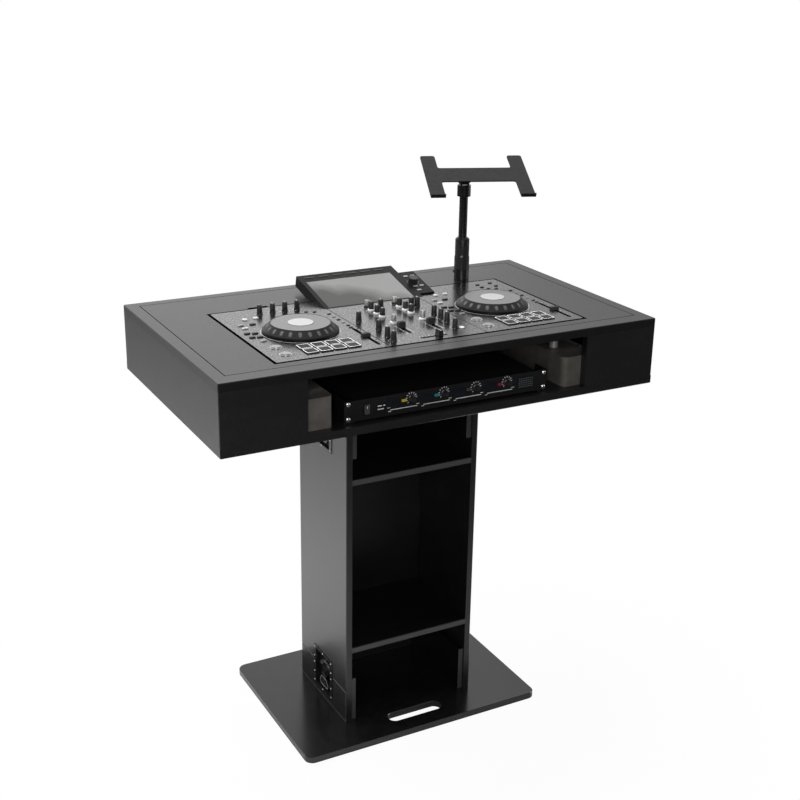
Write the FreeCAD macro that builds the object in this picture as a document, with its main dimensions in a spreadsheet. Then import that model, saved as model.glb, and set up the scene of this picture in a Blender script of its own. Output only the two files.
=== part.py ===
import FreeCAD, Part

import os
import re

import Sketcher

# A free-standing DJ booth: a base plate and a hollow column carry a box-shaped table, which takes a flush two-deck
# controller, a one-unit rack receiver in its open front bay, and a pole stand for a laptop.
# The origin is on the floor under the middle of the table. X runs to the right seen from the open front, Y to the
# back and Z up. Lengths are in millimetres, angles in degrees, and shares are parts of the length named beside them.

SIZES = {
    # table
    "table_width": 1020,
    "table_depth": 594,
    "table_height": 151,
    "board": 18,
    "bay_width": 656,
    "rim_side": 28,
    "rim_front": 38,
    "rim_back": 26,
    "lid_thickness": 9,
    "lid_gap": 2,
    "ledge": 12,
    "notch_length": 46,
    "notch_width": 10,
    "notch_side": 92,
    "edge_ease": 1.5,
    # stand
    "stand_offset": 5.5,
    "plate_width": 604,
    "plate_depth": 431,
    "plate_thickness": 15,
    "plate_corner": 20,
    "foot_radius": 20,
    "foot_height": 3,
    "foot_inset": 45,
    "slot_length": 138,
    "slot_width": 33,
    "slot_gap": 14.5,
    "column_width": 330,
    "column_depth": 249,
    "column_height": 632,
    "side_board": 15,
    "back_board": 12,
    "shelf_board": 15,
    "low_shelf_rise": 114,
    "high_shelf_drop": 102,
    "cheek_height": 78,
    "upper_cheek_height": 75,
    "tongue_height": 108,
    "upper_tongue_height": 130,
    "tongue_board": 12,
    "tongue_inset": 5,
    "slip": 0.3,
    # butterfly latches
    "flange_width": 103,
    "flange_sheet": 1.2,
    "flange_corner": 6,
    "dish_length": 67,
    "keeper_length": 40,
    "pan_width": 78,
    "pan_depth": 11,
    "pan_sheet": 1.2,
    "pan_margin": 7,
    "spindle_drop": 22,
    "journal_radius": 4,
    "hook_hub": 9,
    "hook_sheet": 3,
    "hook_lift": 0.5,
    "hook_wall": 5.5,
    "hook_open_angle": 35,
    "hook_tail_angle": 35,
    "hook_web_angle": 25,
    "catch_rise": 4,
    "catch_radius": 3,
    "catch_play": 0.5,
    "catch_height": 5,
    "head_radius": 7,
    "wing_width": 44,
    "wing_neck": 26,
    "wing_length": 30,
    "wing_start": 8,
    "wing_sheet": 2.5,
    "wing_sink": 2,
    "wing_corner": 7,
    "lug_width": 4.5,
    "wing_pin_radius": 1.5,
    "running_fit": 0.06,
    # rack bay
    "block_width": 90,
    "block_spread": 638,
    "block_shift": 9,
    "block_depth": 400,
    "block_round": 14,
    "rack_width": 482.6,
    "rack_setback": 20,
    "panel_height": 44,
    "panel_sheet": 3,
    "panel_lift": 3.5,
    "chassis_width": 430,
    "chassis_depth": 220,
    "chassis_height": 42,
    "chassis_wall": 1.5,
    "rail_sheet": 3,
    "rail_flange": 22,
    "rail_leg": 40,
    "gains": 4,
    "gain_first": 90,
    "gain_pitch": 76.5,
    "gain_height": 30.5,
    "gain_radius": 8,
    "gain_waist": 6.4,
    "gain_tip": 5.6,
    "gain_length": 13,
    # laptop stand
    "pole_x": 288,
    "pole_gap": 28,
    "flange_radius": 34,
    "flange_height": 6,
    "tube_radius": 18,
    "tube_rise": 30,
    "clutch_radius": 18,
    "clutch_height": 75,
    "clutch_step": 1,
    "clutch_ring": 28.5,
    "clutch_bevel": 3.5,
    "rod_radius": 10,
    "rod_show": 100,
    "rod_tail": 235,
    "hub_radius": 16,
    "hub_height": 26,
    "hub_cap": 4,
    "ear_sheet": 4.5,
    "ear_radius": 9,
    "tilt_rise": 10,
    "tilt_pin": 3,
    "tilt_pin_head": 5.5,
    "tilt_pin_cap": 3,
    "lug_half": 6,
    "tray_lift": 11,
    "tray_sheet": 3,
    "tray_yaw": 20,
    "tray_tilt": 20.6,
    "tray_shift": 29,
    "arm_spread": 212,
    "arm_width": 35,
    "arm_front": 90,
    "arm_back": 92,
    "bridge_front": 25,
    "bridge_back": 35,
    "lip_height": 6,
    "tray_corner": 6,
    # controller body
    "deck_width": 728,
    "deck_depth": 369,
    "deck_setback": 68,
    "deck_gap": 4.5,
    "deck_proud": 0.5,
    "deck_sheet": 3,
    "deck_corner": 4,
    "case_inset": 2,
    "case_depth": 42,
    "case_wall": 3,
    "deck_foot_radius": 10,
    "deck_foot_height": 22,
    "deck_foot_side": 54,
    "deck_foot_front": 30,
    "deck_foot_back": 40,
    # screen
    "screen_left": 119,
    "screen_right": 128.5,
    "screen_side_panel": 39.5,
    "screen_setback": 300.5,
    "screen_length": 164.5,
    "side_panel_front": 17,
    "side_panel_length": 108,
    "screen_thickness": 25,
    "screen_tilt": 13.2,
    "glass_left": 11,
    "glass_right": 20.5,
    "glass_front": 5.5,
    "glass_length": 125.5,
    "glass_sheet": 1.2,
    "browse_radius": 11,
    "browse_height": 13,
    "browse_side": 11.5,
    "browse_run": 72.5,
    # deck controls
    "deck_pitch": 472,
    "jog_setback": 173,
    "jog_radius": 81,
    "jog_disc": 63,
    "jog_height": 20,
    "jog_skirt": 5,
    "jog_dish": 0.8,
    "jog_hub": 28,
    "jog_spindle": 8,
    "jog_lift": 0.5,
    "jog_dimple": 8,
    "jog_dimples": 22,
    "shaft_drop": 6,
    "pad_size": 27,
    "pad_gap": 4,
    "pad_rise": 2.5,
    "pad_clear": 0.5,
    "pad_web": 2,
    "pads_across": 4,
    "pads_deep": 2,
    "pads_setback": 52,
    "pads_shift": 8,
    "key_radius": 10,
    "key_rise": 3,
    "keys_shift": 91,
    "play_setback": 41,
    "cue_setback": 90,
    "tempo_shift": 107,
    "tempo_setback": 82,
    "tempo_slot": 122,
    "tempo_cap_width": 18,
    "tempo_cap_length": 12,
    "tempo_cap_height": 7.5,
    "slot_gauge": 4,
    "stem_gauge": 3.2,
    "stem_length": 8,
    "stem_drop": 12,
    "cap_lift": 0.5,
    "cap_taper": 2,
    "cap_notch": 2,
    "button_width": 13,
    "button_length": 7.5,
    "button_rise": 2.5,
    # mixer controls
    "channel_pitch": 71,
    "mixer_shift": 3,
    "fader_setback": 92.5,
    "fader_slot": 57,
    "fader_rest": 13.5,
    "fader_cap_width": 16,
    "fader_cap_length": 12,
    "fader_cap_height": 13.5,
    "cross_setback": 22,
    "cross_slot": 60,
    "cross_rest": 12,
    "knob_radius": 6.2,
    "knob_tip": 5.6,
    "knob_skirt": 8,
    "seated_skirt": 6.8,
    "knob_skirt_height": 1.8,
    "knob_height": 21,
    "knob_lift": 0.4,
    "knob_shaft": 3,
    "knob_mark": 1.2,
    "knob_mark_depth": 0.5,
    # how far every cut runs past the face that it opens
    "overrun": 5,
}

# distance of the channel knobs from the deck's front edge, as shares of the deck's depth
CHANNEL_ROW_SHARES = {"high": 0.671, "middle": 0.593, "low": 0.523, "filter": 0.379}

# fixed knobs: distance from the deck's centre line as a share of its width, and from its front as a share of its depth
PANEL_KNOB_SHARES = [
    (-0.364, 0.887),
    (-0.322, 0.887),
    (-0.282, 0.887),
    (-0.242, 0.887),
    (-0.0385, 0.751),
    (0.0577, 0.751),
    (-0.0056, 0.694),
    (-0.127, 0.51),
    (-0.112, 0.312),
    (-0.12, 0.173),
    (-0.124, 0.084),
    (0.09, 0.6545),
    (0.11, 0.652),
    (0.11, 0.444),
    (0.11, 0.363),
    (0.11, 0.29),
    (0.098, 0.154),
]

# small deck buttons: distance from the middle of the deck as a share of the deck pitch, and from the front as above
BUTTON_SHARES = [
    (-0.161, 0.805),
    (-0.106, 0.81),
    (-0.212, 0.705),
    (-0.155, 0.702),
    (-0.21, 0.64),
    (-0.23, 0.545),
    (-0.197, 0.531),
    (-0.23, 0.466),
    (-0.197, 0.455),
    (-0.206, 0.379),
    (0.229, 0.713),
    (0.229, 0.648),
    (0.229, 0.583),
    (0.229, 0.52),
    (0.229, 0.455),
    (0.226, 0.412),
    (0.146, 0.81),
    (0.182, 0.789),
]

SIDES = {"left": -1, "right": 1}

# heights above the floor
PLATE_TOP = "(foot_height + plate_thickness)"
LOW_SEAM = f"({PLATE_TOP} + cheek_height)"
HIGH_SEAM = f"({LOW_SEAM} + column_height)"
TABLE_BOTTOM = f"({HIGH_SEAM} + upper_cheek_height)"
BAY_FLOOR = f"({TABLE_BOTTOM} + board)"
PANEL_LOW = f"({BAY_FLOOR} + panel_lift)"
PANEL_TOP = f"({PANEL_LOW} + panel_height)"
TABLE_TOP = f"({TABLE_BOTTOM} + table_height)"
BAY_CEILING = f"({TABLE_TOP} - board)"
DECK_TOP = f"({TABLE_TOP} + deck_proud)"
DECK_UNDER = f"({DECK_TOP} - deck_sheet)"
CASE_BOTTOM = f"({DECK_UNDER} - case_depth)"
BLOCK_TOP = f"({CASE_BOTTOM} - deck_foot_height)"
TUBE_TOP = f"({TABLE_TOP} + tube_rise)"
CLUTCH_TOP = f"({TUBE_TOP} + slip + clutch_height)"
HUB_BOTTOM = f"({CLUTCH_TOP} + rod_show)"
HUB_TOP = f"({HUB_BOTTOM} + hub_height)"
TILT_AXIS = f"({HUB_TOP} + tilt_rise)"

# places seen from above
TABLE_FRONT = "(-table_depth / 2)"
TABLE_BACK = "(table_depth / 2)"
TABLE_HALF = "(table_width / 2)"
BOARD_BACK = f"({TABLE_FRONT} + board)"
PLATE_FRONT = "(-stand_offset - plate_depth / 2)"
PLATE_BACK = "(-stand_offset + plate_depth / 2)"
COLUMN_HALF = "(column_width / 2)"
COLUMN_FRONT = "(-stand_offset - column_depth / 2)"
COLUMN_BACK = "(-stand_offset + column_depth / 2)"
COLUMN_INNER = f"({COLUMN_HALF} - side_board)"
BACK_FACE = f"({COLUMN_BACK} - back_board)"
LATCH_MIDDLE = "(-stand_offset)"
DECK_HALF = "(deck_width / 2)"
DECK_FRONT = f"({TABLE_FRONT} + deck_setback)"
DECK_BACK = f"({DECK_FRONT} + deck_depth)"
POLE_Y = f"({DECK_BACK} + pole_gap)"
RACK_FRONT = f"({TABLE_FRONT} + rack_setback)"
PANEL_BACK = f"({RACK_FRONT} + panel_sheet)"
SCREEN_FRONT = f"({DECK_FRONT} + screen_setback)"

DOC = FreeCAD.newDocument("dj_booth")
SHEET = DOC.addObject("Spreadsheet::Sheet", "Sizes")
NODES = []
TINY = 1e-4


def fill_sheet():
    """Each driving size gets a row of the sheet, its name as the alias of the cell."""
    for row, (name, size) in enumerate(SIZES.items(), start=1):
        SHEET.set(f"A{row}", name)
        SHEET.set(f"B{row}", str(size))
        SHEET.setAlias(f"B{row}", name)
    DOC.recompute()


SIZE_WORDS = re.compile(r"\b(" + "|".join(SIZES) + r")\b")


def formula(text):
    """The text of a formula with each size written as a reference to its cell."""
    return SIZE_WORDS.sub(r"Sizes.\1", text)


def amount(text):
    """The value of a formula now."""
    return float(SHEET.evalExpression(formula(text)))


def bind(thing, name, text):
    thing.setExpression(name, formula(text))


def place(thing, x="0", y="0", z="0"):
    for axis, text in zip("xyz", (x, y, z)):
        bind(thing, f"Placement.Base.{axis}", text)
    return thing


def keep(thing, label):
    """Names a finished sub-part and puts it on the list of files."""
    thing.Label = label
    NODES.append(thing)
    return thing


# whole shapes and what is done with them


def block(x, y, z):
    """A box between two faces along each axis."""
    thing = DOC.addObject("Part::Box", "block")
    for name, (low, high) in zip(("Length", "Width", "Height"), (x, y, z)):
        bind(thing, name, f"({high}) - ({low})")
    return place(thing, x[0], y[0], z[0])


def drum(radius, low, high, x="0", y="0", angle=None):
    """An upright cylinder, or a sector of one."""
    thing = DOC.addObject("Part::Cylinder", "drum")
    bind(thing, "Radius", radius)
    bind(thing, "Height", f"({high}) - ({low})")
    if angle:
        bind(thing, "Angle", angle)
    return place(thing, x, y, low)


def lying(thing, axis):
    """Lays an upright shape along X or Y."""
    turns = {"X": FreeCAD.Rotation(FreeCAD.Vector(0, 1, 0), 90), "Y": FreeCAD.Rotation(FreeCAD.Vector(1, 0, 0), -90)}
    thing.Placement.Rotation = turns[axis]
    return thing


def fuse(*shapes):
    thing = DOC.addObject("Part::MultiFuse", "fused")
    thing.Shapes = list(shapes)
    thing.Refine = True
    return thing


def cut(base, *tools):
    thing = DOC.addObject("Part::Cut", "cut")
    thing.Base = base
    thing.Tool = tools[0] if len(tools) == 1 else group(*tools)
    return thing


def group(*members):
    thing = DOC.addObject("Part::Compound", "group")
    thing.Links = list(members)
    return thing


def across(side, inner, outer):
    """The X faces of a piece that lies between two distances from the middle, on one side."""
    return (inner, outer) if SIDES[side] > 0 else (f"-({outer})", f"-({inner})")


def about(middle, width):
    """Two faces that lie half a width each side of a middle."""
    return f"({middle}) - ({width}) / 2", f"({middle}) + ({width}) / 2"


# bodies made of sketches and features


def body():
    return DOC.addObject("PartDesign::Body", "body")


def sketch(part, plane="XY_Plane", lift="0"):
    thing = part.newObject("Sketcher::SketchObject", "sketch")
    support = next(item for item in part.Origin.OriginFeatures if item.Role == plane)
    thing.AttachmentSupport = [(support, "")]
    thing.MapMode = "FlatFace"
    bind(thing, "AttachmentOffset.Base.z", lift)
    return thing


def pin_point(thing, edge, end, x, y):
    """Ties one point of a sketch to its two formulas."""
    for kind, text in (("DistanceX", x), ("DistanceY", y)):
        rule = thing.addConstraint(Sketcher.Constraint(kind, -1, 1, edge, end, amount(text)))
        bind(thing, f"Constraints[{rule}]", text)


def outline(thing, corners):
    """A closed outline of straight runs through its corners."""
    first = thing.GeometryCount
    points = [FreeCAD.Vector(amount(x), amount(y), 0) for x, y in corners]
    following = points[1:] + points[:1]
    thing.addGeometry([Part.LineSegment(a, b) for a, b in zip(points, following)], False)
    count = len(corners)
    for index in range(count):
        after = (index + 1) % count
        thing.addConstraint(Sketcher.Constraint("Coincident", first + index, 2, first + after, 1))
    for index, (x, y) in enumerate(corners):
        pin_point(thing, first + index, 1, x, y)


def rectangle(thing, x, y):
    outline(thing, [(x[0], y[0]), (x[1], y[0]), (x[1], y[1]), (x[0], y[1])])


def circle(thing, x, y, radius):
    centre = FreeCAD.Vector(amount(x), amount(y), 0)
    edge = thing.addGeometry(Part.Circle(centre, FreeCAD.Vector(0, 0, 1), amount(radius)), False)
    pin_point(thing, edge, 3, x, y)
    rule = thing.addConstraint(Sketcher.Constraint("Radius", edge, amount(radius)))
    bind(thing, f"Constraints[{rule}]", radius)


def pad(part, profile, length, down=False, middle=False):
    thing = part.newObject("PartDesign::Pad", "pad")
    thing.Profile = profile
    thing.Reversed = down
    thing.Midplane = middle
    bind(thing, "Length", length)
    DOC.recompute()
    return thing


def pocket(part, profile, depth, middle=False):
    thing = part.newObject("PartDesign::Pocket", "pocket")
    thing.Profile = profile
    thing.Midplane = middle
    bind(thing, "Length", depth)
    DOC.recompute()
    return thing


def revolve(part, profile):
    """Turns a profile round the upright axis of its sketch."""
    thing = part.newObject("PartDesign::Revolution", "turned")
    thing.Profile = profile
    thing.ReferenceAxis = (profile, ["V_Axis"])
    thing.Angle = 360
    DOC.recompute()
    return thing


def dress(part, kind, feature, chosen, name, size):
    """A fillet or chamfer on the chosen edges of a feature."""
    names = [f"Edge{index}" for index, edge in enumerate(feature.Shape.Edges, start=1) if chosen(edge)]
    thing = part.newObject(f"PartDesign::{kind}", kind.lower())
    thing.Base = (feature, names)
    bind(thing, name, size)
    DOC.recompute()
    return thing


def round_edges(part, feature, chosen, radius):
    return dress(part, "Fillet", feature, chosen, "Radius", radius)


def ease_edges(part, feature, chosen, size="edge_ease"):
    return dress(part, "Chamfer", feature, chosen, "Size", size)


def upright(edge):
    box = edge.BoundBox
    return box.XLength < TINY and box.YLength < TINY


def at_height(text):
    level = amount(text)
    return lambda edge: abs(edge.BoundBox.ZMin - level) < TINY and abs(edge.BoundBox.ZMax - level) < TINY


def board(x, y, z, chosen=None):
    """A board as a padded rectangle, with its chosen edges eased."""
    part = body()
    profile = sketch(part, lift=z[0])
    rectangle(profile, x, y)
    solid = pad(part, profile, f"({z[1]}) - ({z[0]})")
    if chosen:
        ease_edges(part, solid, chosen)
    return part


# stand


def make_base():
    part = body()
    profile = sketch(part, lift="foot_height")
    rectangle(profile, about("0", "plate_width"), (PLATE_FRONT, PLATE_BACK))
    solid = pad(part, profile, "plate_thickness")
    solid = round_edges(part, solid, upright, "plate_corner")
    ends = sketch(part, lift=PLATE_TOP)
    slot_middle = f"({COLUMN_FRONT} - slot_gap - slot_width / 2)"
    slot_reach = "((slot_length - slot_width) / 2)"
    rectangle(ends, (f"-{slot_reach}", slot_reach), about(slot_middle, "slot_width"))
    solid = pocket(part, ends, "plate_thickness + overrun")
    for sign in ("-", ""):
        end = sketch(part, lift=PLATE_TOP)
        circle(end, f"{sign}{slot_reach}", slot_middle, "slot_width / 2")
        solid = pocket(part, end, "plate_thickness + overrun")
    ease_edges(part, solid, at_height(PLATE_TOP))
    keep(part, "base_plate")
    feet = []
    for x in ("(plate_width / 2 - foot_inset)", "-(plate_width / 2 - foot_inset)"):
        for y in (f"({PLATE_FRONT} + foot_inset)", f"({PLATE_BACK} - foot_inset)"):
            feet.append(drum("foot_radius", "0", "foot_height", x, y))
    keep(group(*feet), "base_feet")


def pan_room(side, seam, upper):
    """The hollow in a board that takes a latch pan, above or below the seam."""
    x = across(side, f"{COLUMN_HALF} - pan_depth - pan_sheet - slip", f"{COLUMN_HALF} + overrun")
    y = about(LATCH_MIDDLE, "pan_width + 2 * (pan_sheet + slip)")
    if upper:
        return block(x, y, (f"{seam} - overrun", f"{seam} + keeper_length - pan_margin + pan_sheet + slip"))
    return block(x, y, (f"{seam} - dish_length + pan_margin - pan_sheet - slip", f"{seam} + overrun"))


def side_wall(side, low, high):
    """A side board of the column, the edges of its outer face eased."""
    face = amount(f"{SIDES[side]} * {COLUMN_HALF}")
    outer = lambda edge: abs(edge.BoundBox.XMin - face) < TINY and abs(edge.BoundBox.XMax - face) < TINY
    return board(across(side, COLUMN_INNER, COLUMN_HALF), (COLUMN_FRONT, COLUMN_BACK), (low, high), outer)


def make_cheeks():
    """Left, right and back boards on the base and under the table, the sides hollowed for their latch."""
    boards = []
    inner = (f"-{COLUMN_INNER}", COLUMN_INNER)
    low_boards = (PLATE_TOP, LOW_SEAM, LOW_SEAM, False)
    high_boards = (HIGH_SEAM, TABLE_BOTTOM, HIGH_SEAM, True)
    for low, high, seam, upper in (low_boards, high_boards):
        for side in SIDES:
            boards.append(cut(side_wall(side, low, high), pan_room(side, seam, upper)))
        boards.append(block(inner, (BACK_FACE, COLUMN_BACK), (low, high)))
    keep(group(*boards), "cheek_boards")


def make_tongues():
    """Boards inside the column's ends that locate it on the base and under the table."""
    tongues = []
    y = (f"{COLUMN_FRONT} + tongue_inset", f"{BACK_FACE} - tongue_inset")
    on_base = (PLATE_TOP, f"{PLATE_TOP} + tongue_height")
    under_table = (f"{TABLE_BOTTOM} - upper_tongue_height", TABLE_BOTTOM)
    for height in (on_base, under_table):
        for side in SIDES:
            x = across(side, f"{COLUMN_INNER} - slip - tongue_board", f"{COLUMN_INNER} - slip")
            tongues.append(block(x, y, height))
    keep(group(*tongues), "locating_tongues")


def make_column():
    walls = []
    for side in SIDES:
        wall = side_wall(side, LOW_SEAM, HIGH_SEAM)
        walls.append(cut(wall, pan_room(side, LOW_SEAM, True), pan_room(side, HIGH_SEAM, False)))
    keep(group(*walls), "column_sides")
    inner = (f"-{COLUMN_INNER}", COLUMN_INNER)
    keep(block(inner, (BACK_FACE, COLUMN_BACK), (LOW_SEAM, HIGH_SEAM)), "column_back")
    shelves = []
    front = amount(COLUMN_FRONT)
    leading = lambda edge: edge.BoundBox.YMax - front < TINY and edge.BoundBox.ZLength < TINY
    for top in (f"({LOW_SEAM} + low_shelf_rise)", f"({HIGH_SEAM} - high_shelf_drop)"):
        shelves.append(board(inner, (COLUMN_FRONT, BACK_FACE), (f"{top} - shelf_board", top), leading))
    keep(group(*shelves), "column_shelves")


# butterfly latches


def latch_places():
    """Name, side and seam of each latch."""
    for side in SIDES:
        yield f"lower_{side}", side, LOW_SEAM
        yield f"upper_{side}", side, HIGH_SEAM


def set_latch(thing, side, seam, drop="0"):
    """Turns a latch piece so that its Z points out of the board and its Y up, and puts it on the seam."""
    sign = SIDES[side]
    out = FreeCAD.Vector(sign, 0, 0)
    up = FreeCAD.Vector(0, 0, 1)
    thing.Placement.Rotation = FreeCAD.Rotation(up.cross(out), up, out, "ZYX")
    return place(thing, f"{sign} * {COLUMN_HALF}", LATCH_MIDDLE, f"{seam} - {drop}")


def latch_pan(length, upper):
    """Flange and pan of a dish or keeper, open towards the seam."""
    sign = "" if upper else "-"
    part = body()
    flange = sketch(part)
    near = f"{sign}(slip / 2)"
    rectangle(flange, about("0", "flange_width"), (near, f"{sign}{length}"))
    solid = pad(part, flange, "flange_sheet")
    far = amount(length)
    outer = lambda edge: upright(edge) and abs(abs(edge.BoundBox.YMin) - far) < TINY
    round_edges(part, solid, outer, "flange_corner")
    pan = sketch(part)
    reach = f"({length} - pan_margin)"
    rectangle(pan, about("0", "pan_width + 2 * pan_sheet"), (near, f"{sign}({reach} + pan_sheet)"))
    pad(part, pan, "pan_depth + pan_sheet", down=True)
    hollow = sketch(part, lift="flange_sheet")
    past = "-overrun" if upper else "overrun"
    rectangle(hollow, about("0", "pan_width"), (past, f"{sign}{reach}"))
    pocket(part, hollow, "flange_sheet + pan_depth")
    return part


def make_latch_plates():
    """The dish with its spindle hole and the keeper with its catch post, on each side of every seam."""
    plates = []
    for name, side, seam in latch_places():
        dish = latch_pan("dish_length", False)
        hole = sketch(dish)
        circle(hole, "0", "-spindle_drop", "journal_radius + running_fit")
        pocket(dish, hole, "pan_depth + pan_sheet + overrun")
        plates.append(set_latch(dish, side, seam))
        keeper = latch_pan("keeper_length", True)
        post = sketch(keeper, lift="-pan_depth")
        circle(post, "0", "catch_rise", "catch_radius")
        pad(keeper, post, "catch_height")
        plates.append(set_latch(keeper, side, seam))
    keep(group(*plates), "latch_plates")


def make_hooks():
    """A crescent that turns round the keeper's post, on a spindle in the dish floor with a head for the wing."""
    floor = "(-pan_depth + hook_lift)"
    roof = f"({floor} + hook_sheet)"
    catch = "(spindle_drop + catch_rise + catch_radius + catch_play)"
    rim = f"({catch} + hook_wall)"
    sweep = "(hook_open_angle + hook_tail_angle + hook_web_angle)"
    for name, side, seam in latch_places():
        hub = drum("hook_hub", floor, roof)
        ring = cut(drum(rim, floor, roof, angle=sweep), drum(catch, f"{floor} - overrun", f"{roof} + overrun"))
        web = drum(rim, floor, roof, angle="hook_web_angle")
        for arm, start in ((ring, "90 - hook_open_angle"), (web, "90 + hook_tail_angle")):
            bind(arm, "Placement.Rotation.Angle", start)
        journal = drum("journal_radius", "-pan_depth - pan_sheet", floor)
        head = drum("head_radius", roof, "-wing_sink")
        bore = lying(drum("wing_pin_radius + running_fit", "-2 * head_radius", "2 * head_radius"), "X")
        place(bore, "-2 * head_radius", "0", "-wing_sink - wing_sheet / 2")
        hook = cut(fuse(hub, ring, web, journal, head), bore)
        keep(set_latch(hook, side, seam, "spindle_drop"), f"latch_hook_{name}")


def make_wings():
    """A folding handle that lies flat in the dish, on a pin through the head of the hook's spindle."""
    axis = "(-wing_sink - wing_sheet / 2)"
    for name, side, seam in latch_places():
        part = body()
        leaf = sketch(part, lift="-wing_sink - wing_sheet")
        neck = "wing_neck / 2"
        wide = "wing_width / 2"
        shoulder = "-(wing_start + wing_length) / 2"
        outline(leaf, [
            (f"-{neck}", "-wing_start"),
            (f"-{wide}", shoulder),
            (f"-{wide}", "-wing_length"),
            (wide, "-wing_length"),
            (wide, shoulder),
            (neck, "-wing_start"),
        ])
        solid = pad(part, leaf, "wing_sheet")
        far = -amount("wing_length")
        tip = lambda edge: upright(edge) and abs(edge.BoundBox.YMin - far) < TINY
        round_edges(part, solid, tip, "wing_corner")
        for sign in ("", "-"):
            inner = f"{sign}(head_radius + slip)"
            outer = f"{sign}(head_radius + slip + lug_width)"
            lug = sketch(part, lift="-wing_sink - wing_sheet")
            rectangle(lug, (inner, outer), ("-wing_start", "wing_sheet"))
            pad(part, lug, "wing_sheet")
        pin = sketch(part, "YZ_Plane")
        circle(pin, "0", axis, "wing_pin_radius")
        pad(part, pin, "2 * (head_radius + slip + lug_width)", middle=True)
        keep(set_latch(part, side, seam, "spindle_drop"), f"latch_wing_{name}")


# table


def make_table():
    """Floor board, side and back walls, and the front boards beside the bay."""
    whole = (f"-{TABLE_HALF}", TABLE_HALF)
    depth = (TABLE_FRONT, TABLE_BACK)
    keep(board(whole, depth, (TABLE_BOTTOM, BAY_FLOOR), at_height(TABLE_BOTTOM)), "table_floor")
    level = (BAY_FLOOR, BAY_CEILING)
    walls = []
    for side in SIDES:
        face = amount(f"{SIDES[side]} * {TABLE_HALF}")
        corner = lambda edge: upright(edge) and abs(edge.BoundBox.XMin - face) < TINY
        walls.append(board(across(side, f"{TABLE_HALF} - board", TABLE_HALF), depth, level, corner))
    inner = (f"-({TABLE_HALF} - board)", f"{TABLE_HALF} - board")
    walls.append(board(inner, (f"{TABLE_BACK} - board", TABLE_BACK), level))
    for side in SIDES:
        walls.append(board(across(side, "bay_width / 2", f"{TABLE_HALF} - board"), (TABLE_FRONT, BOARD_BACK), level))
    keep(group(*walls), "table_walls")


RIM_X = f"({TABLE_HALF} - rim_side)"
RIM_FRONT = f"({TABLE_FRONT} + rim_front)"
RIM_BACK = f"({TABLE_BACK} - rim_back)"


def make_top():
    """The rebated frame round the table's top, and the lid that drops into it, cut out for deck, leads and pole."""
    frame = body()
    outer = sketch(frame, lift=BAY_CEILING)
    rectangle(outer, (f"-{TABLE_HALF}", TABLE_HALF), (TABLE_FRONT, TABLE_BACK))
    solid = pad(frame, outer, "board")
    solid = ease_edges(frame, solid, lambda edge: upright(edge) or at_height(TABLE_TOP)(edge))
    rebate = sketch(frame, lift=TABLE_TOP)
    rectangle(rebate, (f"-{RIM_X}", RIM_X), (RIM_FRONT, RIM_BACK))
    pocket(frame, rebate, "lid_thickness")
    well = sketch(frame, lift=TABLE_TOP)
    ledge = f"({RIM_X} - ledge)"
    rectangle(well, (f"-{ledge}", ledge), (f"{RIM_FRONT} + ledge", f"{RIM_BACK} - ledge"))
    pocket(frame, well, "board + overrun")
    keep(frame, "table_top_frame")
    lid = body()
    panel = sketch(lid, lift=f"{TABLE_TOP} - lid_thickness")
    edge = f"({RIM_X} - lid_gap)"
    rectangle(panel, (f"-{edge}", edge), (f"{RIM_FRONT} + lid_gap", f"{RIM_BACK} - lid_gap"))
    pad(lid, panel, "lid_thickness")
    mouth = sketch(lid, lift=TABLE_TOP)
    gap = f"({DECK_HALF} + deck_gap)"
    rectangle(mouth, (f"-{gap}", gap), (f"{DECK_FRONT} - deck_gap", f"{DECK_BACK} + deck_gap"))
    pocket(lid, mouth, "lid_thickness + overrun")
    notch = sketch(lid, lift=TABLE_TOP)
    near = f"(notch_side - {DECK_HALF})"
    rectangle(notch, (near, f"{near} + notch_length"), (DECK_BACK, f"{DECK_BACK} + deck_gap + notch_width"))
    pocket(lid, notch, "lid_thickness + overrun")
    hole = sketch(lid, lift=TABLE_TOP)
    circle(hole, "pole_x", POLE_Y, "tube_radius + slip")
    pocket(lid, hole, "lid_thickness + overrun")
    keep(lid, "lid_panel")


# rack bay


FOOT_X = f"({DECK_HALF} - deck_foot_side)"


def gain_places():
    """X and Z of each knob on the receiver's panel."""
    for index in range(SIZES["gains"]):
        yield f"(-gain_first + {index} * gain_pitch)", f"({PANEL_LOW} + gain_height)"


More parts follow.
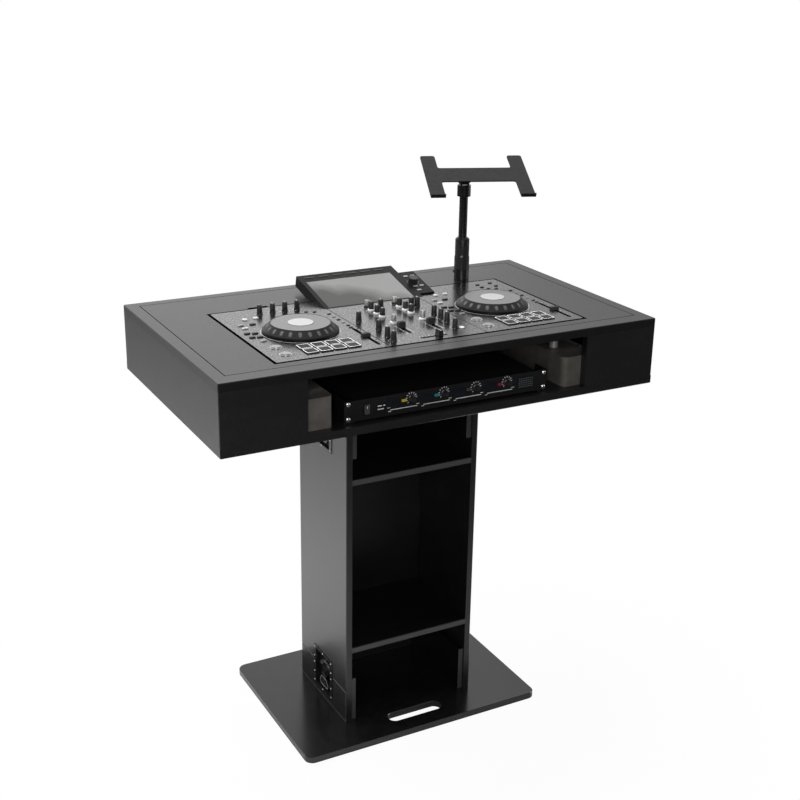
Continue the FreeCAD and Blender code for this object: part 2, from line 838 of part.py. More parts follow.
def make_bay():
    """Support blocks for the controller, rails for the receiver's ears, and the receiver itself."""
    blocks = []
    for side in SIDES:
        part = body()
        plan = sketch(part, lift=BAY_FLOOR)
        near = f"({BOARD_BACK} + slip)"
        middle = f"({SIDES[side]} * block_spread / 2 + block_shift)"
        rectangle(plan, about(middle, "block_width"), (near, f"{near} + block_depth"))
        solid = pad(part, plan, f"{BLOCK_TOP} - {BAY_FLOOR}")
        round_edges(part, solid, upright, "block_round")
        blocks.append(part)
    keep(group(*blocks), "support_blocks")
    rails = []
    ear = "(rack_width / 2)"
    height = (BAY_FLOOR, PANEL_TOP)
    for side in SIDES:
        face = block(across(side, f"{ear} - rail_flange", ear), (PANEL_BACK, f"{PANEL_BACK} + rail_sheet"), height)
        leg = block(across(side, f"{ear} - rail_sheet", ear), (PANEL_BACK, f"{PANEL_BACK} + rail_leg"), height)
        rails.append(fuse(face, leg))
    keep(group(*rails), "rack_rails")
    panel = board((f"-{ear}", ear), (RACK_FRONT, PANEL_BACK), (PANEL_LOW, PANEL_TOP))
    holes = []
    for x, z in gain_places():
        hole = lying(drum("knob_shaft + running_fit", "0", "panel_sheet + 2 * overrun"), "Y")
        holes.append(place(hole, x, f"{RACK_FRONT} - overrun", z))
    keep(cut(panel, *holes), "receiver_panel")
    low = f"({PANEL_LOW} + (panel_height - chassis_height) / 2)"
    shell = block(about("0", "chassis_width"), (PANEL_BACK, f"{PANEL_BACK} + chassis_depth"),
                  (low, f"{low} + chassis_height"))
    inside = block(about("0", "chassis_width - 2 * chassis_wall"),
                   (f"{PANEL_BACK} - overrun", f"{PANEL_BACK} + chassis_depth - chassis_wall"),
                   (f"{low} + chassis_wall", f"{low} + chassis_height - chassis_wall"))
    keep(cut(shell, inside), "receiver_chassis")
    for number, (x, z) in enumerate(gain_places(), start=1):
        part = body()
        profile = sketch(part, "XZ_Plane")
        outline(profile, [
            ("0", "-shaft_drop"),
            ("knob_shaft", "-shaft_drop"),
            ("knob_shaft", "knob_lift"),
            ("gain_radius", "knob_lift"),
            ("gain_radius", "gain_length / 4"),
            ("gain_waist", "gain_length / 3"),
            ("gain_tip", "gain_length"),
            ("0", "gain_length"),
        ])
        revolve(part, profile)
        part.Placement.Rotation = FreeCAD.Rotation(FreeCAD.Vector(1, 0, 0), 90)
        keep(place(part, x, RACK_FRONT, z), f"receiver_knob_{number}")


# laptop stand


def make_pole():
    """Lower tube welded to its flange, clutch sleeve and sliding rod on one upright axis."""
    x, y = "pole_x", POLE_Y
    flange_top = f"({BAY_FLOOR} + flange_height)"
    flange = drum("flange_radius", BAY_FLOOR, flange_top, x, y)
    bore = "rod_radius + running_fit"
    tube = drum("tube_radius", flange_top, TUBE_TOP, x, y)
    keep(cut(fuse(flange, tube), drum(bore, flange_top, f"{TUBE_TOP} + overrun", x, y)), "stand_tube")
    sleeve = body()
    profile = sketch(sleeve, "XZ_Plane")
    grip = "(clutch_radius - clutch_step)"
    outline(profile, [
        (bore, "0"),
        ("clutch_radius", "0"),
        ("clutch_radius", "clutch_ring"),
        (grip, "clutch_ring"),
        (grip, "clutch_height - clutch_bevel"),
        (f"{grip} - clutch_bevel", "clutch_height"),
        (bore, "clutch_height"),
    ])
    revolve(sleeve, profile)
    keep(place(sleeve, x, y, f"{TUBE_TOP} + slip"), "stand_clutch")
    rod_top = f"({HUB_TOP} - hub_cap - slip)"
    keep(drum("rod_radius", f"{CLUTCH_TOP} + rod_show - rod_tail", rod_top, x, y), "stand_rod")


def make_head():
    """A hub that swivels on the rod, with two ears and the tilt pin between them."""
    hub = drum("hub_radius", HUB_BOTTOM, HUB_TOP)
    socket = drum("rod_radius + running_fit", f"{HUB_BOTTOM} - overrun", f"{HUB_TOP} - hub_cap")
    inner = "(lug_half + slip)"
    outer = f"({inner} + ear_sheet)"
    ears = []
    for side in SIDES:
        low, high = across(side, inner, outer)
        ears.append(block((low, high), about("0", "2 * ear_radius"), (f"{HUB_TOP} - hub_cap", TILT_AXIS)))
        knuckle = lying(drum("ear_radius", "0", "ear_sheet"), "X")
        ears.append(place(knuckle, low, "0", TILT_AXIS))
    eye = lying(drum("tilt_pin", "0", "2 * hub_radius"), "X")
    place(eye, "-hub_radius", "0", TILT_AXIS)
    casting = cut(fuse(hub, *ears), fuse(socket, eye))
    pin = lying(drum("tilt_pin", "0", f"2 * {outer}"), "X")
    place(pin, f"-{outer}", "0", TILT_AXIS)
    heads = []
    for start in (f"-{outer} - tilt_pin_cap", outer):
        head = lying(drum("tilt_pin_head", "0", "tilt_pin_cap"), "X")
        heads.append(place(head, start, "0", TILT_AXIS))
    whole = group(casting, fuse(pin, *heads))
    bind(whole, "Placement.Rotation.Angle", "-tray_yaw")
    keep(place(whole, "pole_x", POLE_Y), "stand_head")


def make_tray():
    """A flat tray with two arms, lips at their front ends and a lug on the tilt pin, drawn about the tilt axis."""
    part = body()
    left = about("tray_shift - arm_spread / 2", "arm_width")
    right = about("tray_shift + arm_spread / 2", "arm_width")
    plan = sketch(part, lift="tray_lift")
    outline(plan, [
        (left[0], "-arm_front"),
        (left[1], "-arm_front"),
        (left[1], "-bridge_front"),
        (right[0], "-bridge_front"),
        (right[0], "-arm_front"),
        (right[1], "-arm_front"),
        (right[1], "arm_back"),
        (right[0], "arm_back"),
        (right[0], "bridge_back"),
        (left[1], "bridge_back"),
        (left[1], "arm_back"),
        (left[0], "arm_back"),
    ])
    solid = pad(part, plan, "tray_sheet")
    front = -amount("arm_front")
    not_lip = lambda edge: upright(edge) and abs(edge.BoundBox.YMin - front) > TINY
    round_edges(part, solid, not_lip, "tray_corner")
    for arm in (left, right):
        lip = sketch(part, lift="tray_lift")
        rectangle(lip, arm, ("-arm_front - tray_sheet", "-arm_front"))
        pad(part, lip, "tray_sheet + lip_height")
    web = sketch(part, "YZ_Plane")
    rectangle(web, about("0", "2 * ear_radius"), ("0", "tray_lift"))
    pad(part, web, "2 * lug_half", middle=True)
    knuckle = sketch(part, "YZ_Plane")
    circle(knuckle, "0", "0", "ear_radius")
    pad(part, knuckle, "2 * lug_half", middle=True)
    eye = sketch(part, "YZ_Plane")
    circle(eye, "0", "0", "tilt_pin + running_fit")
    pocket(part, eye, "2 * lug_half + overrun", middle=True)
    yaw = FreeCAD.Rotation(FreeCAD.Vector(0, 0, 1), -amount("tray_yaw"))
    tilt = FreeCAD.Rotation(FreeCAD.Vector(1, 0, 0), amount("tray_tilt"))
    part.Placement.Rotation = yaw * tilt
    keep(place(part, "pole_x", POLE_Y, TILT_AXIS), "laptop_tray")


# controller body


def from_front(distance):
    """A place on the deck at a distance from its front edge."""
    return f"({DECK_FRONT} + {distance})"


def deck_middle(side):
    return f"({SIDES[side]} * deck_pitch / 2)"


def channel(side):
    return f"({SIDES[side]} * channel_pitch / 2 + mixer_shift)"


def pad_cells(side):
    """The middle of each pad of a deck."""
    step = "(pad_size + pad_gap)"
    for column in range(SIZES["pads_across"]):
        for row in range(SIZES["pads_deep"]):
            x = f"({deck_middle(side)} + pads_shift + ({column} - (pads_across - 1) / 2) * {step})"
            y = f"({from_front('pads_setback')} + ({row} - (pads_deep - 1) / 2) * {step})"
            yield x, y


def key_places(side):
    x = f"({deck_middle(side)} - keys_shift)"
    return [(x, from_front("play_setback")), (x, from_front("cue_setback"))]


def knob_places():
    """Name and place of each turning channel knob."""
    for side in SIDES:
        for row, share in CHANNEL_ROW_SHARES.items():
            yield f"knob_{row}_{side}", channel(side), from_front(f"{share} * deck_depth")


def make_controller_body():
    part = body()
    plan = sketch(part, lift=DECK_UNDER)
    rectangle(plan, (f"-{DECK_HALF}", DECK_HALF), (DECK_FRONT, DECK_BACK))
    solid = pad(part, plan, "deck_sheet")
    round_edges(part, solid, upright, "deck_corner")
    slots = sketch(part, lift=DECK_TOP)
    for side in SIDES:
        x = f"({deck_middle(side)} + tempo_shift)"
        rectangle(slots, about(x, "slot_gauge"), about(from_front("tempo_setback"), "tempo_slot"))
        rectangle(slots, about(channel(side), "slot_gauge"), about(from_front("fader_setback"), "fader_slot"))
    rectangle(slots, about("0", "cross_slot"), about(from_front("cross_setback"), "slot_gauge"))
    pocket(part, slots, "deck_sheet + overrun")
    rounds = sketch(part, lift=DECK_TOP)
    for side in SIDES:
        circle(rounds, deck_middle(side), from_front("jog_setback"), "jog_spindle + running_fit")
        for x, y in key_places(side):
            circle(rounds, x, y, "key_radius + pad_clear")
    for name, x, y in knob_places():
        circle(rounds, x, y, "knob_shaft + running_fit")
    pocket(part, rounds, "deck_sheet + overrun")
    for side in SIDES:
        windows = sketch(part, lift=DECK_TOP)
        for x, y in pad_cells(side):
            rectangle(windows, about(x, "pad_size + 2 * pad_clear"), about(y, "pad_size + 2 * pad_clear"))
        pocket(part, windows, "deck_sheet + overrun")
    keep(part, "controller_plate")
    case = body()
    shell = sketch(case, lift=CASE_BOTTOM)
    half = f"({DECK_HALF} - case_inset)"
    rectangle(shell, (f"-{half}", half), (f"{DECK_FRONT} + case_inset", f"{DECK_BACK} - case_inset"))
    solid = pad(case, shell, "case_depth")
    solid = round_edges(case, solid, upright, "deck_corner")
    ease_edges(case, solid, at_height(CASE_BOTTOM), "case_inset")
    hollow = sketch(case, lift=DECK_UNDER)
    room = f"({half} - case_wall)"
    inset = "(case_inset + case_wall)"
    rectangle(hollow, (f"-{room}", room), (f"{DECK_FRONT} + {inset}", f"{DECK_BACK} - {inset}"))
    pocket(case, hollow, "case_depth - case_wall")
    keep(case, "controller_case")
    feet = []
    for side in SIDES:
        for y in (f"{DECK_FRONT} + deck_foot_front", f"{DECK_BACK} - deck_foot_back"):
            feet.append(drum("deck_foot_radius", BLOCK_TOP, CASE_BOTTOM, f"{SIDES[side]} * {FOOT_X}", y))
    keep(group(*feet), "controller_feet")


# screen


SLOPE = "(screen_tilt * 1 deg)"


def on_slope(run, rise):
    """The Y and Z of a point that lies a run up the slope of the screen and a rise off its face."""
    y = f"({SCREEN_FRONT} + ({run}) * cos{SLOPE} - ({rise}) * sin{SLOPE})"
    z = f"({DECK_TOP} + ({run}) * sin{SLOPE} + ({rise}) * cos{SLOPE})"
    return y, z


def screen_wedge():
    """The sloping screen body, which tapers to nothing at the deck."""
    part = body()
    side = sketch(part, "YZ_Plane", lift="-screen_left")
    toe_y = f"({SCREEN_FRONT} + screen_thickness / sin{SLOPE})"
    outline(side, [
        (SCREEN_FRONT, DECK_TOP),
        (toe_y, DECK_TOP),
        on_slope("screen_length", "-screen_thickness"),
        on_slope("screen_length", "0"),
    ])
    pad(part, side, "screen_left + screen_right")
    return part


def side_panel():
    """The shorter panel beside the screen, on the same slope and with an upright front."""
    part = body()
    side = sketch(part, "YZ_Plane", lift="screen_right")
    low_y, low_z = on_slope("side_panel_front", "0")
    high_y, high_z = on_slope("side_panel_front + side_panel_length", "0")
    outline(side, [(low_y, DECK_TOP), (high_y, DECK_TOP), (high_y, high_z), (low_y, low_z)])
    pad(part, side, "screen_side_panel")
    return part


def tilted(thing, x, run, rise):
    y, z = on_slope(run, rise)
    thing.Placement.Rotation = FreeCAD.Rotation(FreeCAD.Vector(1, 0, 0), amount("screen_tilt"))
    return place(thing, x, y, z)


def slope_block(x, run, rise):
    """A box that lies on the slope, between two faces across, up the slope and off it."""
    thing = block(x, run, rise)
    return tilted(thing, x[0], run[0], rise[0])


def make_screen():
    glass_x = ("-screen_left + glass_left", "screen_right - glass_right")
    glass_run = ("glass_front", "glass_front + glass_length")
    recess = slope_block(glass_x, glass_run, ("-glass_sheet", "overrun"))
    middle = "screen_right + browse_side"
    shaft_hole = tilted(drum("knob_shaft + running_fit", "0", "shaft_drop + overrun"),
                        middle, "browse_run", "-shaft_drop")
    keep(cut(fuse(screen_wedge(), side_panel()), recess, shaft_hole), "screen_housing")
    keep(slope_block(glass_x, glass_run, ("-glass_sheet", "0")), "screen_glass")
    knob = drum("browse_radius", "knob_lift", "browse_height")
    shaft = drum("knob_shaft", "-shaft_drop", "knob_lift")
    keep(tilted(fuse(knob, shaft), middle, "browse_run", "0"), "browse_knob")


# deck and mixer controls


def make_jogs():
    for side in SIDES:
        part = body()
        profile = sketch(part, "XZ_Plane")
        top = "(jog_height - jog_dish)"
        outline(profile, [
            ("0", "-shaft_drop"),
            ("jog_spindle", "-shaft_drop"),
            ("jog_spindle", "jog_lift"),
            ("jog_radius", "jog_lift"),
            ("jog_radius", "jog_skirt"),
            ("jog_disc", "jog_height"),
            ("jog_disc - jog_dish", top),
            ("jog_hub", top),
            ("jog_hub - jog_dish", "jog_height"),
            ("0", "jog_height"),
        ])
        revolve(part, profile)
        dimple = part.newObject("PartDesign::SubtractiveSphere", "dimple")
        bind(dimple, "Radius", "jog_dimple")
        middle = "((jog_radius + jog_disc) / 2 + jog_dimple * 3 / 4)"
        bind(dimple, "AttachmentOffset.Base.x", middle)
        bind(dimple, "AttachmentOffset.Base.z", "(jog_skirt + jog_height) / 2 + jog_dimple / 2")
        support = next(item for item in part.Origin.OriginFeatures if item.Role == "XY_Plane")
        dimple.AttachmentSupport = [(support, "")]
        dimple.MapMode = "FlatFace"
        DOC.recompute()
        dimples = part.newObject("PartDesign::PolarPattern", "dimples")
        dimples.Originals = [dimple]
        dimples.Axis = (profile, ["V_Axis"])
        dimples.Angle = 360
        bind(dimples, "Occurrences", "jog_dimples")
        part.Tip = dimples
        DOC.recompute()
        keep(place(part, deck_middle(side), from_front("jog_setback"), DECK_TOP), f"jog_wheel_{side}")


def slider(width, length, height):
    """A fader cap with tapered ends and a finger notch, on a stem that passes through its slot, drawn along Y."""
    part = body()
    profile = sketch(part, "YZ_Plane")
    foot = f"({length} / 2)"
    top = f"({foot} - cap_taper)"
    outline(profile, [
        (f"-{foot}", "cap_lift"),
        (foot, "cap_lift"),
        (top, height),
        ("cap_notch", height),
        ("0", f"{height} - cap_notch"),
        ("-cap_notch", height),
        (f"-{top}", height),
    ])
    pad(part, profile, width, middle=True)
    stem = sketch(part, lift="cap_lift")
    rectangle(stem, about("0", "stem_gauge"), about("0", "stem_length"))
    pad(part, stem, "cap_lift + stem_drop", down=True)
    return part


def make_sliders():
    for side in SIDES:
        tempo = slider("tempo_cap_width", "tempo_cap_length", "tempo_cap_height")
        x = f"({deck_middle(side)} + tempo_shift)"
        keep(place(tempo, x, from_front("tempo_setback"), DECK_TOP), f"tempo_slider_{side}")
        fader = slider("fader_cap_width", "fader_cap_length", "fader_cap_height")
        y = from_front("fader_setback + fader_rest")
        keep(place(fader, channel(side), y, DECK_TOP), f"channel_fader_{side}")
    cross = slider("fader_cap_width", "fader_cap_length", "fader_cap_height")
    cross.Placement.Rotation = FreeCAD.Rotation(FreeCAD.Vector(0, 0, 1), 90)
    keep(place(cross, "cross_rest", from_front("cross_setback"), DECK_TOP), "crossfader")


def knob(foot, skirt):
    """A tapered knob with a skirt and a pointer groove, above the corners of its foot."""
    part = body()
    profile = sketch(part, "XZ_Plane")
    outline(profile, foot + [
        (skirt, "knob_lift + knob_skirt_height"),
        ("knob_radius", "knob_lift + knob_skirt_height"),
        ("knob_tip", "knob_height"),
        ("0", "knob_height"),
    ])
    revolve(part, profile)
    mark = sketch(part, lift="knob_height")
    rectangle(mark, about("0", "knob_mark"), ("0", "knob_radius + overrun"))
    pocket(part, mark, "knob_mark_depth")
    return part


def make_knobs():
    """Channel knobs that turn on a shaft in the plate, and the group of knobs that is seated on it."""
    shaft = [
        ("0", "-shaft_drop"),
        ("knob_shaft", "-shaft_drop"),
        ("knob_shaft", "knob_lift"),
        ("knob_skirt", "knob_lift"),
    ]
    for name, x, y in knob_places():
        keep(place(knob(shaft, "knob_skirt"), x, y, DECK_TOP), name)
    seat = [("0", "0"), ("seated_skirt", "0")]
    seated = []
    for across_share, depth_share in PANEL_KNOB_SHARES:
        x = f"{across_share} * deck_width"
        seated.append(place(knob(seat, "seated_skirt"), x, from_front(f"{depth_share} * deck_depth"), DECK_TOP))
    keep(group(*seated), "panel_knobs")


def make_buttons():
    """Pad sheets and transport keys, each one moulding with its web under the plate, and the small deck buttons."""
    web_top = f"({DECK_UNDER} - slip)"
    web_low = f"({web_top} - pad_web)"
    small = []
    for side in SIDES:
        sheet = body()
        web = sketch(sheet, lift=web_low)
        x = f"({deck_middle(side)} + pads_shift)"
        step = "(pad_size + pad_gap)"
        rectangle(web, about(x, f"pads_across * {step}"), about(from_front("pads_setback"), f"pads_deep * {step}"))
        pad(sheet, web, "pad_web")
        tops = sketch(sheet, lift=web_top)
        for x, y in pad_cells(side):
            rectangle(tops, about(x, "pad_size"), about(y, "pad_size"))
        pad(sheet, tops, "slip + deck_sheet + pad_rise")
        keep(sheet, f"pads_{side}")
        keys = body()
        strip = sketch(keys, lift=web_low)
        x = f"({deck_middle(side)} - keys_shift)"
        ends = (from_front("play_setback - key_radius"), from_front("cue_setback + key_radius"))
        rectangle(strip, about(x, "2 * key_radius"), ends)
        pad(keys, strip, "pad_web")
        caps = sketch(keys, lift=web_top)
        for x, y in key_places(side):
            circle(caps, x, y, "key_radius")
        pad(keys, caps, "slip + deck_sheet + key_rise")
        keep(keys, f"play_keys_{side}")
        for across_share, depth_share in BUTTON_SHARES:
            x = f"({deck_middle(side)} + {across_share} * deck_pitch)"
            y = from_front(f"{depth_share} * deck_depth")
            height = (DECK_TOP, f"{DECK_TOP} + button_rise")
            small.append(block(about(x, "button_width"), about(y, "button_length"), height))
    keep(group(*small), "deck_buttons")


def check_document():
    """Stops if any object failed, any cut removed nothing, or any sub-part is empty or not valid."""
    for thing in DOC.Objects:
        if "Invalid" in thing.State or "Error" in thing.State:
            raise RuntimeError(f"{thing.Name} failed: {thing.State}")
        if thing.TypeId == "PartDesign::Pocket":
            removed = thing.BaseFeature.Shape.Volume - thing.Shape.Volume
            if removed < TINY:
                raise RuntimeError(f"{thing.Name} cuts nothing")
    for node in NODES:
        if node.Shape.isNull() or not node.Shape.isValid() or not node.Shape.Solids:
            raise RuntimeError(f"{node.Label} has no valid solid")


def write_parts():
    os.makedirs("parts", exist_ok=True)
    for node in NODES:
        node.Shape.exportStep(f"parts/{node.Label}.step")
    print(len(NODES), "sub-parts,", sum(len(node.Shape.Solids) for node in NODES), "solids")


fill_sheet()
make_base()
make_cheeks()
make_tongues()
make_column()
make_latch_plates()
make_hooks()
make_wings()
make_table()
make_top()
make_bay()
make_pole()
make_head()
make_tray()
make_controller_body()
make_screen()
make_jogs()
make_sliders()
make_knobs()
make_buttons()
DOC.recompute()
check_document()
write_parts()
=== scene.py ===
import bpy
import numpy as np
from mathutils import Matrix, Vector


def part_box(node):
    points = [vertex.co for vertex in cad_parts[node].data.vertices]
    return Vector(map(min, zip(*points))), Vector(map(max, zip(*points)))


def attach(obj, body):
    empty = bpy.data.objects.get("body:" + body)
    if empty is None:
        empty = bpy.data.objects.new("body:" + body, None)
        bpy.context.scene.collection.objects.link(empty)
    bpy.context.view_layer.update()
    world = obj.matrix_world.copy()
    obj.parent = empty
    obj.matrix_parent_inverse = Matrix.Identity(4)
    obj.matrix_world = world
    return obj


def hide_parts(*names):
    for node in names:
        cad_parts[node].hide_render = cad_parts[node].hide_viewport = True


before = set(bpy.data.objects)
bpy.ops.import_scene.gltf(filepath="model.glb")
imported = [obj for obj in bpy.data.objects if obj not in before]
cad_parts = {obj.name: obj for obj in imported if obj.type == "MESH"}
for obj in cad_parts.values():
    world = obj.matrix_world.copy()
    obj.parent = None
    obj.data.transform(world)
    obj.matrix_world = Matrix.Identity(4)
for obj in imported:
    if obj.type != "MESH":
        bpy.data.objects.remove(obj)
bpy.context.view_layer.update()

# Lengths are in millimetres, in the part's own frame; meshes and materials turn them to metres.
MM = 0.001
SIDES = {"left": -1, "right": 1}
UP = np.array([0.0, 0.0, 1.0])
SHARP_ANGLE = np.radians(35)


# Places read from the frame


def corners(name):
    """Lowest and highest corner of a CAD node."""
    return [np.array(corner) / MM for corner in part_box(name)]


def middle(name):
    """Halfway between the corners of a CAD node."""
    low, high = corners(name)
    return (low + high) / 2


def axis_of(name):
    """Middle of a round CAD node to a tenth of a millimetre, as its facets put its box a little off."""
    return np.round(middle(name), 1)


def top(name):
    """Height of the highest point of a CAD node."""
    return corners(name)[1][2]


def front(name):
    """The foremost Y of a CAD node."""
    return corners(name)[0][1]


PLATE_TOP = top("base_plate")
LID_TOP = top("lid_panel")
DECK_TOP = top("controller_plate")
COLUMN_LOW, COLUMN_HIGH = corners("column_sides")
COLUMN_SIDE = COLUMN_HIGH[0]
SEAMS = {"lower": COLUMN_LOW[2], "upper": COLUMN_HIGH[2]}
PANEL_FACE = front("receiver_panel")
PANEL_MIDDLE = middle("receiver_panel")[2]
SCREEN_FRONT = front("screen_housing")
SCREEN_TILT = np.radians(13.2)
POLE = middle("stand_rod")[:2]
RECEIVER_KNOBS = [f"receiver_knob_{number}" for number in range(1, 5)]
KNOB_ROWS = ("high", "middle", "low", "filter")
DECK_KNOBS = [f"knob_{row}_{side}" for side in SIDES for row in KNOB_ROWS]
FADERS = ["crossfader"] + [f"{kind}_{side}" for kind in ("channel_fader", "tempo_slider") for side in SIDES]


# Surfaces: each shape is an array of points and a list of faces

BEVEL_STEPS = 5
CAP_POWER = 6.0
BORDER_POWER = 10.0
BORDER_COLUMNS = 32
ARC_ROWS = 24
BOX_SIGNS = np.array([[-1, -1, -1], [1, -1, -1], [1, 1, -1], [-1, 1, -1],
                      [-1, -1, 1], [1, -1, 1], [1, 1, 1], [-1, 1, 1]]) / 2
BOX_FACES = np.array([[0, 3, 2, 1], [4, 5, 6, 7], [0, 1, 5, 4], [1, 2, 6, 5], [2, 3, 7, 6], [3, 0, 4, 7]])


def strip_faces(rows, columns, loop=False):
    """Quads between the rows of a grid whose columns close on themselves. With loop the last row joins the
    first; without it a flat polygon closes the first row and the last."""
    upper = rows if loop else rows - 1
    row, column = np.meshgrid(np.arange(upper), np.arange(columns), indexing="ij")
    after, above = (column + 1) % columns, (row + 1) % rows
    quads = np.stack([row * columns + column, row * columns + after,
                      above * columns + after, above * columns + column], -1)
    faces = quads.reshape(-1, 4).tolist()
    if not loop:
        first = np.arange(columns)
        faces += [first[::-1].tolist(), (first + (rows - 1) * columns).tolist()]
    return faces


def turned(profile, columns, flutes=0, bite=0.0, grip=(0.0, 0.0)):
    """A profile of radius and height turned about Z. Between the grip heights the radius also falls by
    bite * (1 - cos(flutes * angle)) / 2, which gives finger flutes."""
    radius, height = np.asarray(profile, float).T
    angle = np.linspace(0, 2 * np.pi, columns, endpoint=False)
    wave = bite * (1 - np.cos(flutes * angle)) / 2
    held = (height >= grip[0]) & (height <= grip[1])
    reach = radius[:, None] - held[:, None] * wave[None, :]
    level = np.repeat(height[:, None], columns, 1)
    points = np.stack([reach * np.cos(angle), reach * np.sin(angle), level], -1)
    return points.reshape(-1, 3), strip_faces(len(radius), columns)


def ring(outer, inner, height, columns=48):
    """A flat washer: two radii joined top, bottom and sides round the full turn."""
    profile = [(outer, 0), (outer, height), (inner, height), (inner, 0)]
    points, _ = turned(profile, columns)
    return points, strip_faces(len(profile), columns, loop=True)


def arc_band(inner, outer, start, end, height):
    """A flat band between two radii round part of a turn: its four-cornered profile at each angle."""
    angle = np.radians(np.linspace(start, end, ARC_ROWS))[:, None]
    radius = np.array([outer, outer, inner, inner])[None, :]
    level = np.repeat([[height, 0.0, 0.0, height]], ARC_ROWS, 0)
    points = np.stack([radius * np.cos(angle), radius * np.sin(angle), level], -1)
    return points.reshape(-1, 3), strip_faces(ARC_ROWS, 4)


def bent(value, power):
    """Keeps the sign and raises the size to 2 / power, which draws a circle out towards a square."""
    return np.sign(value) * np.abs(value) ** (2 / power)


def squircle(width, length, columns, power):
    """Outline of a rounded rectangle: half its sizes times the bent cosine and sine of the angle."""
    angle = np.linspace(0, 2 * np.pi, columns, endpoint=False) + np.pi / columns
    return np.stack([width / 2 * bent(np.cos(angle), power), length / 2 * bent(np.sin(angle), power)], -1)


def cap(width, length, height, bevel, columns=32):
    """A rounded rectangle carried up an upright side and a quarter-round bevel to a flat top."""
    turn = np.linspace(0, np.pi / 2, BEVEL_STEPS)
    inset = np.concatenate([[0.0], bevel * (1 - np.cos(turn))])
    level = np.concatenate([[0.0], height - bevel + bevel * np.sin(turn)])
    rings = []
    for step, z in zip(inset, level):
        outline = squircle(width - 2 * step, length - 2 * step, columns, CAP_POWER)
        rings.append(np.column_stack([outline, np.full(columns, z)]))
    return np.concatenate(rings), strip_faces(len(rings), columns)


def band_between(outer, inner, height):
    """A flat band between two outlines with as many points, joined top, bottom and sides."""
    layers = ((outer, 0.0), (outer, height), (inner, height), (inner, 0.0))
    rings = [np.column_stack([outline, np.full(len(outline), level)]) for outline, level in layers]
    return np.concatenate(rings), strip_faces(len(rings), len(outer), loop=True)


def border(width, length, band, height):
    """A flat frame between a rounded rectangle and the same one drawn in by the band."""
    outer = squircle(width, length, BORDER_COLUMNS, BORDER_POWER)
    inner = squircle(width - 2 * band, length - 2 * band, BORDER_COLUMNS, BORDER_POWER)
    return band_between(outer, inner, height)


def bars(middles, sizes, turns=0.0):
    """Bars: half corner signs times the sizes, turned about Z and moved to their middles, all at once."""
    middles = np.atleast_2d(np.asarray(middles, float))
    sizes = np.broadcast_to(np.asarray(sizes, float), middles.shape)
    turns = np.broadcast_to(np.asarray(turns, float), (len(middles),))
    x, y, z = np.moveaxis(BOX_SIGNS[None] * sizes[:, None], -1, 0)
    c, s = np.cos(turns)[:, None], np.sin(turns)[:, None]
    points = np.stack([x * c - y * s, x * s + y * c, z], -1) + middles[:, None]
    faces = BOX_FACES[None] + len(BOX_SIGNS) * np.arange(len(middles))[:, None, None]
    return points.reshape(-1, 3), faces.reshape(-1, 4).tolist()


def merged(shapes):
    """Several shapes as one."""
    starts = np.cumsum([0] + [len(points) for points, _ in shapes])
    faces = [[index + int(start) for index in face]
             for start, (_, some) in zip(starts, shapes) for face in some]
    return np.concatenate([points for points, _ in shapes]), faces


def laid(shape, place, right=(1, 0, 0), up=(0, 1, 0)):
    """A shape drawn on the XY plane, set down at a place on the plane of two directions."""
    right, up = np.asarray(right, float), np.asarray(up, float)
    points, faces = shape
    return points @ np.stack([right, up, np.cross(right, up)]) + np.asarray(place, float), faces


def on_panel(shape, x, z):
    """A shape set on the receiver's front, which faces -Y, at a height above the panel's middle."""
    return laid(shape, (x, PANEL_FACE, PANEL_MIDDLE + z), up=UP)


def on_screen(shape, x, run):
    """A shape set on the sloping face of the screen housing, run millimetres up from its front edge."""
    up = np.array([0, np.cos(SCREEN_TILT), np.sin(SCREEN_TILT)])
    return laid(shape, np.array([x, SCREEN_FRONT, DECK_TOP]) + run * up, up=up)


def on_side(shape, side, y, z, out):
    """A shape set on a side face of the column, which faces -X or +X."""
    return laid(shape, (SIDES[side] * (COLUMN_SIDE + out), y, z), (0, SIDES[side], 0), UP)


def on_deck(shape, x=0.0, y=0.0, lift=0.0):
    """A shape set on the controller's top plate."""
    return laid(shape, (x, y, DECK_TOP + lift))


def on_pole(shape, facing, reach, z):
    """A shape set on the round of the pole, facing away from its axis."""
    return laid(shape, np.array([*POLE, z]) + reach * np.asarray(facing), np.cross(UP, facing), UP)


def put(name, data):
    """A new object in the scene."""
    thing = bpy.data.objects.new(name, data)
    bpy.context.scene.collection.objects.link(thing)
    return thing


def piece(name, shapes, finishes, body, replaces=()):
    """One mesh from shapes of points and faces; shape number n takes finish number n, or the last one."""
    points, faces = merged(shapes)
    kinds = [min(number, len(finishes) - 1) for number, (_, some) in enumerate(shapes) for _ in some]
    mesh = bpy.data.meshes.new(name)
    mesh.from_pydata((points * MM).tolist(), [], faces)
    for finish in finishes:
        mesh.materials.append(FINISH[finish])
    mesh.polygons.foreach_set("material_index", kinds)
    mesh.polygons.foreach_set("use_smooth", [True] * len(faces))
    mesh.set_sharp_from_angle(angle=SHARP_ANGLE)
    mesh.update()
    thing = put(name, mesh)
    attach(thing, body)
    if replaces:
        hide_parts(*replaces)


# Finishes


def shade(tone, warm=0.0):
    """A grey of one value, drawn towards red by the share warm; three values are a colour already."""
    if np.ndim(tone):
        return (*tone, 1)
    return (tone * (1 + warm), tone, tone * (1 - warm), 1)


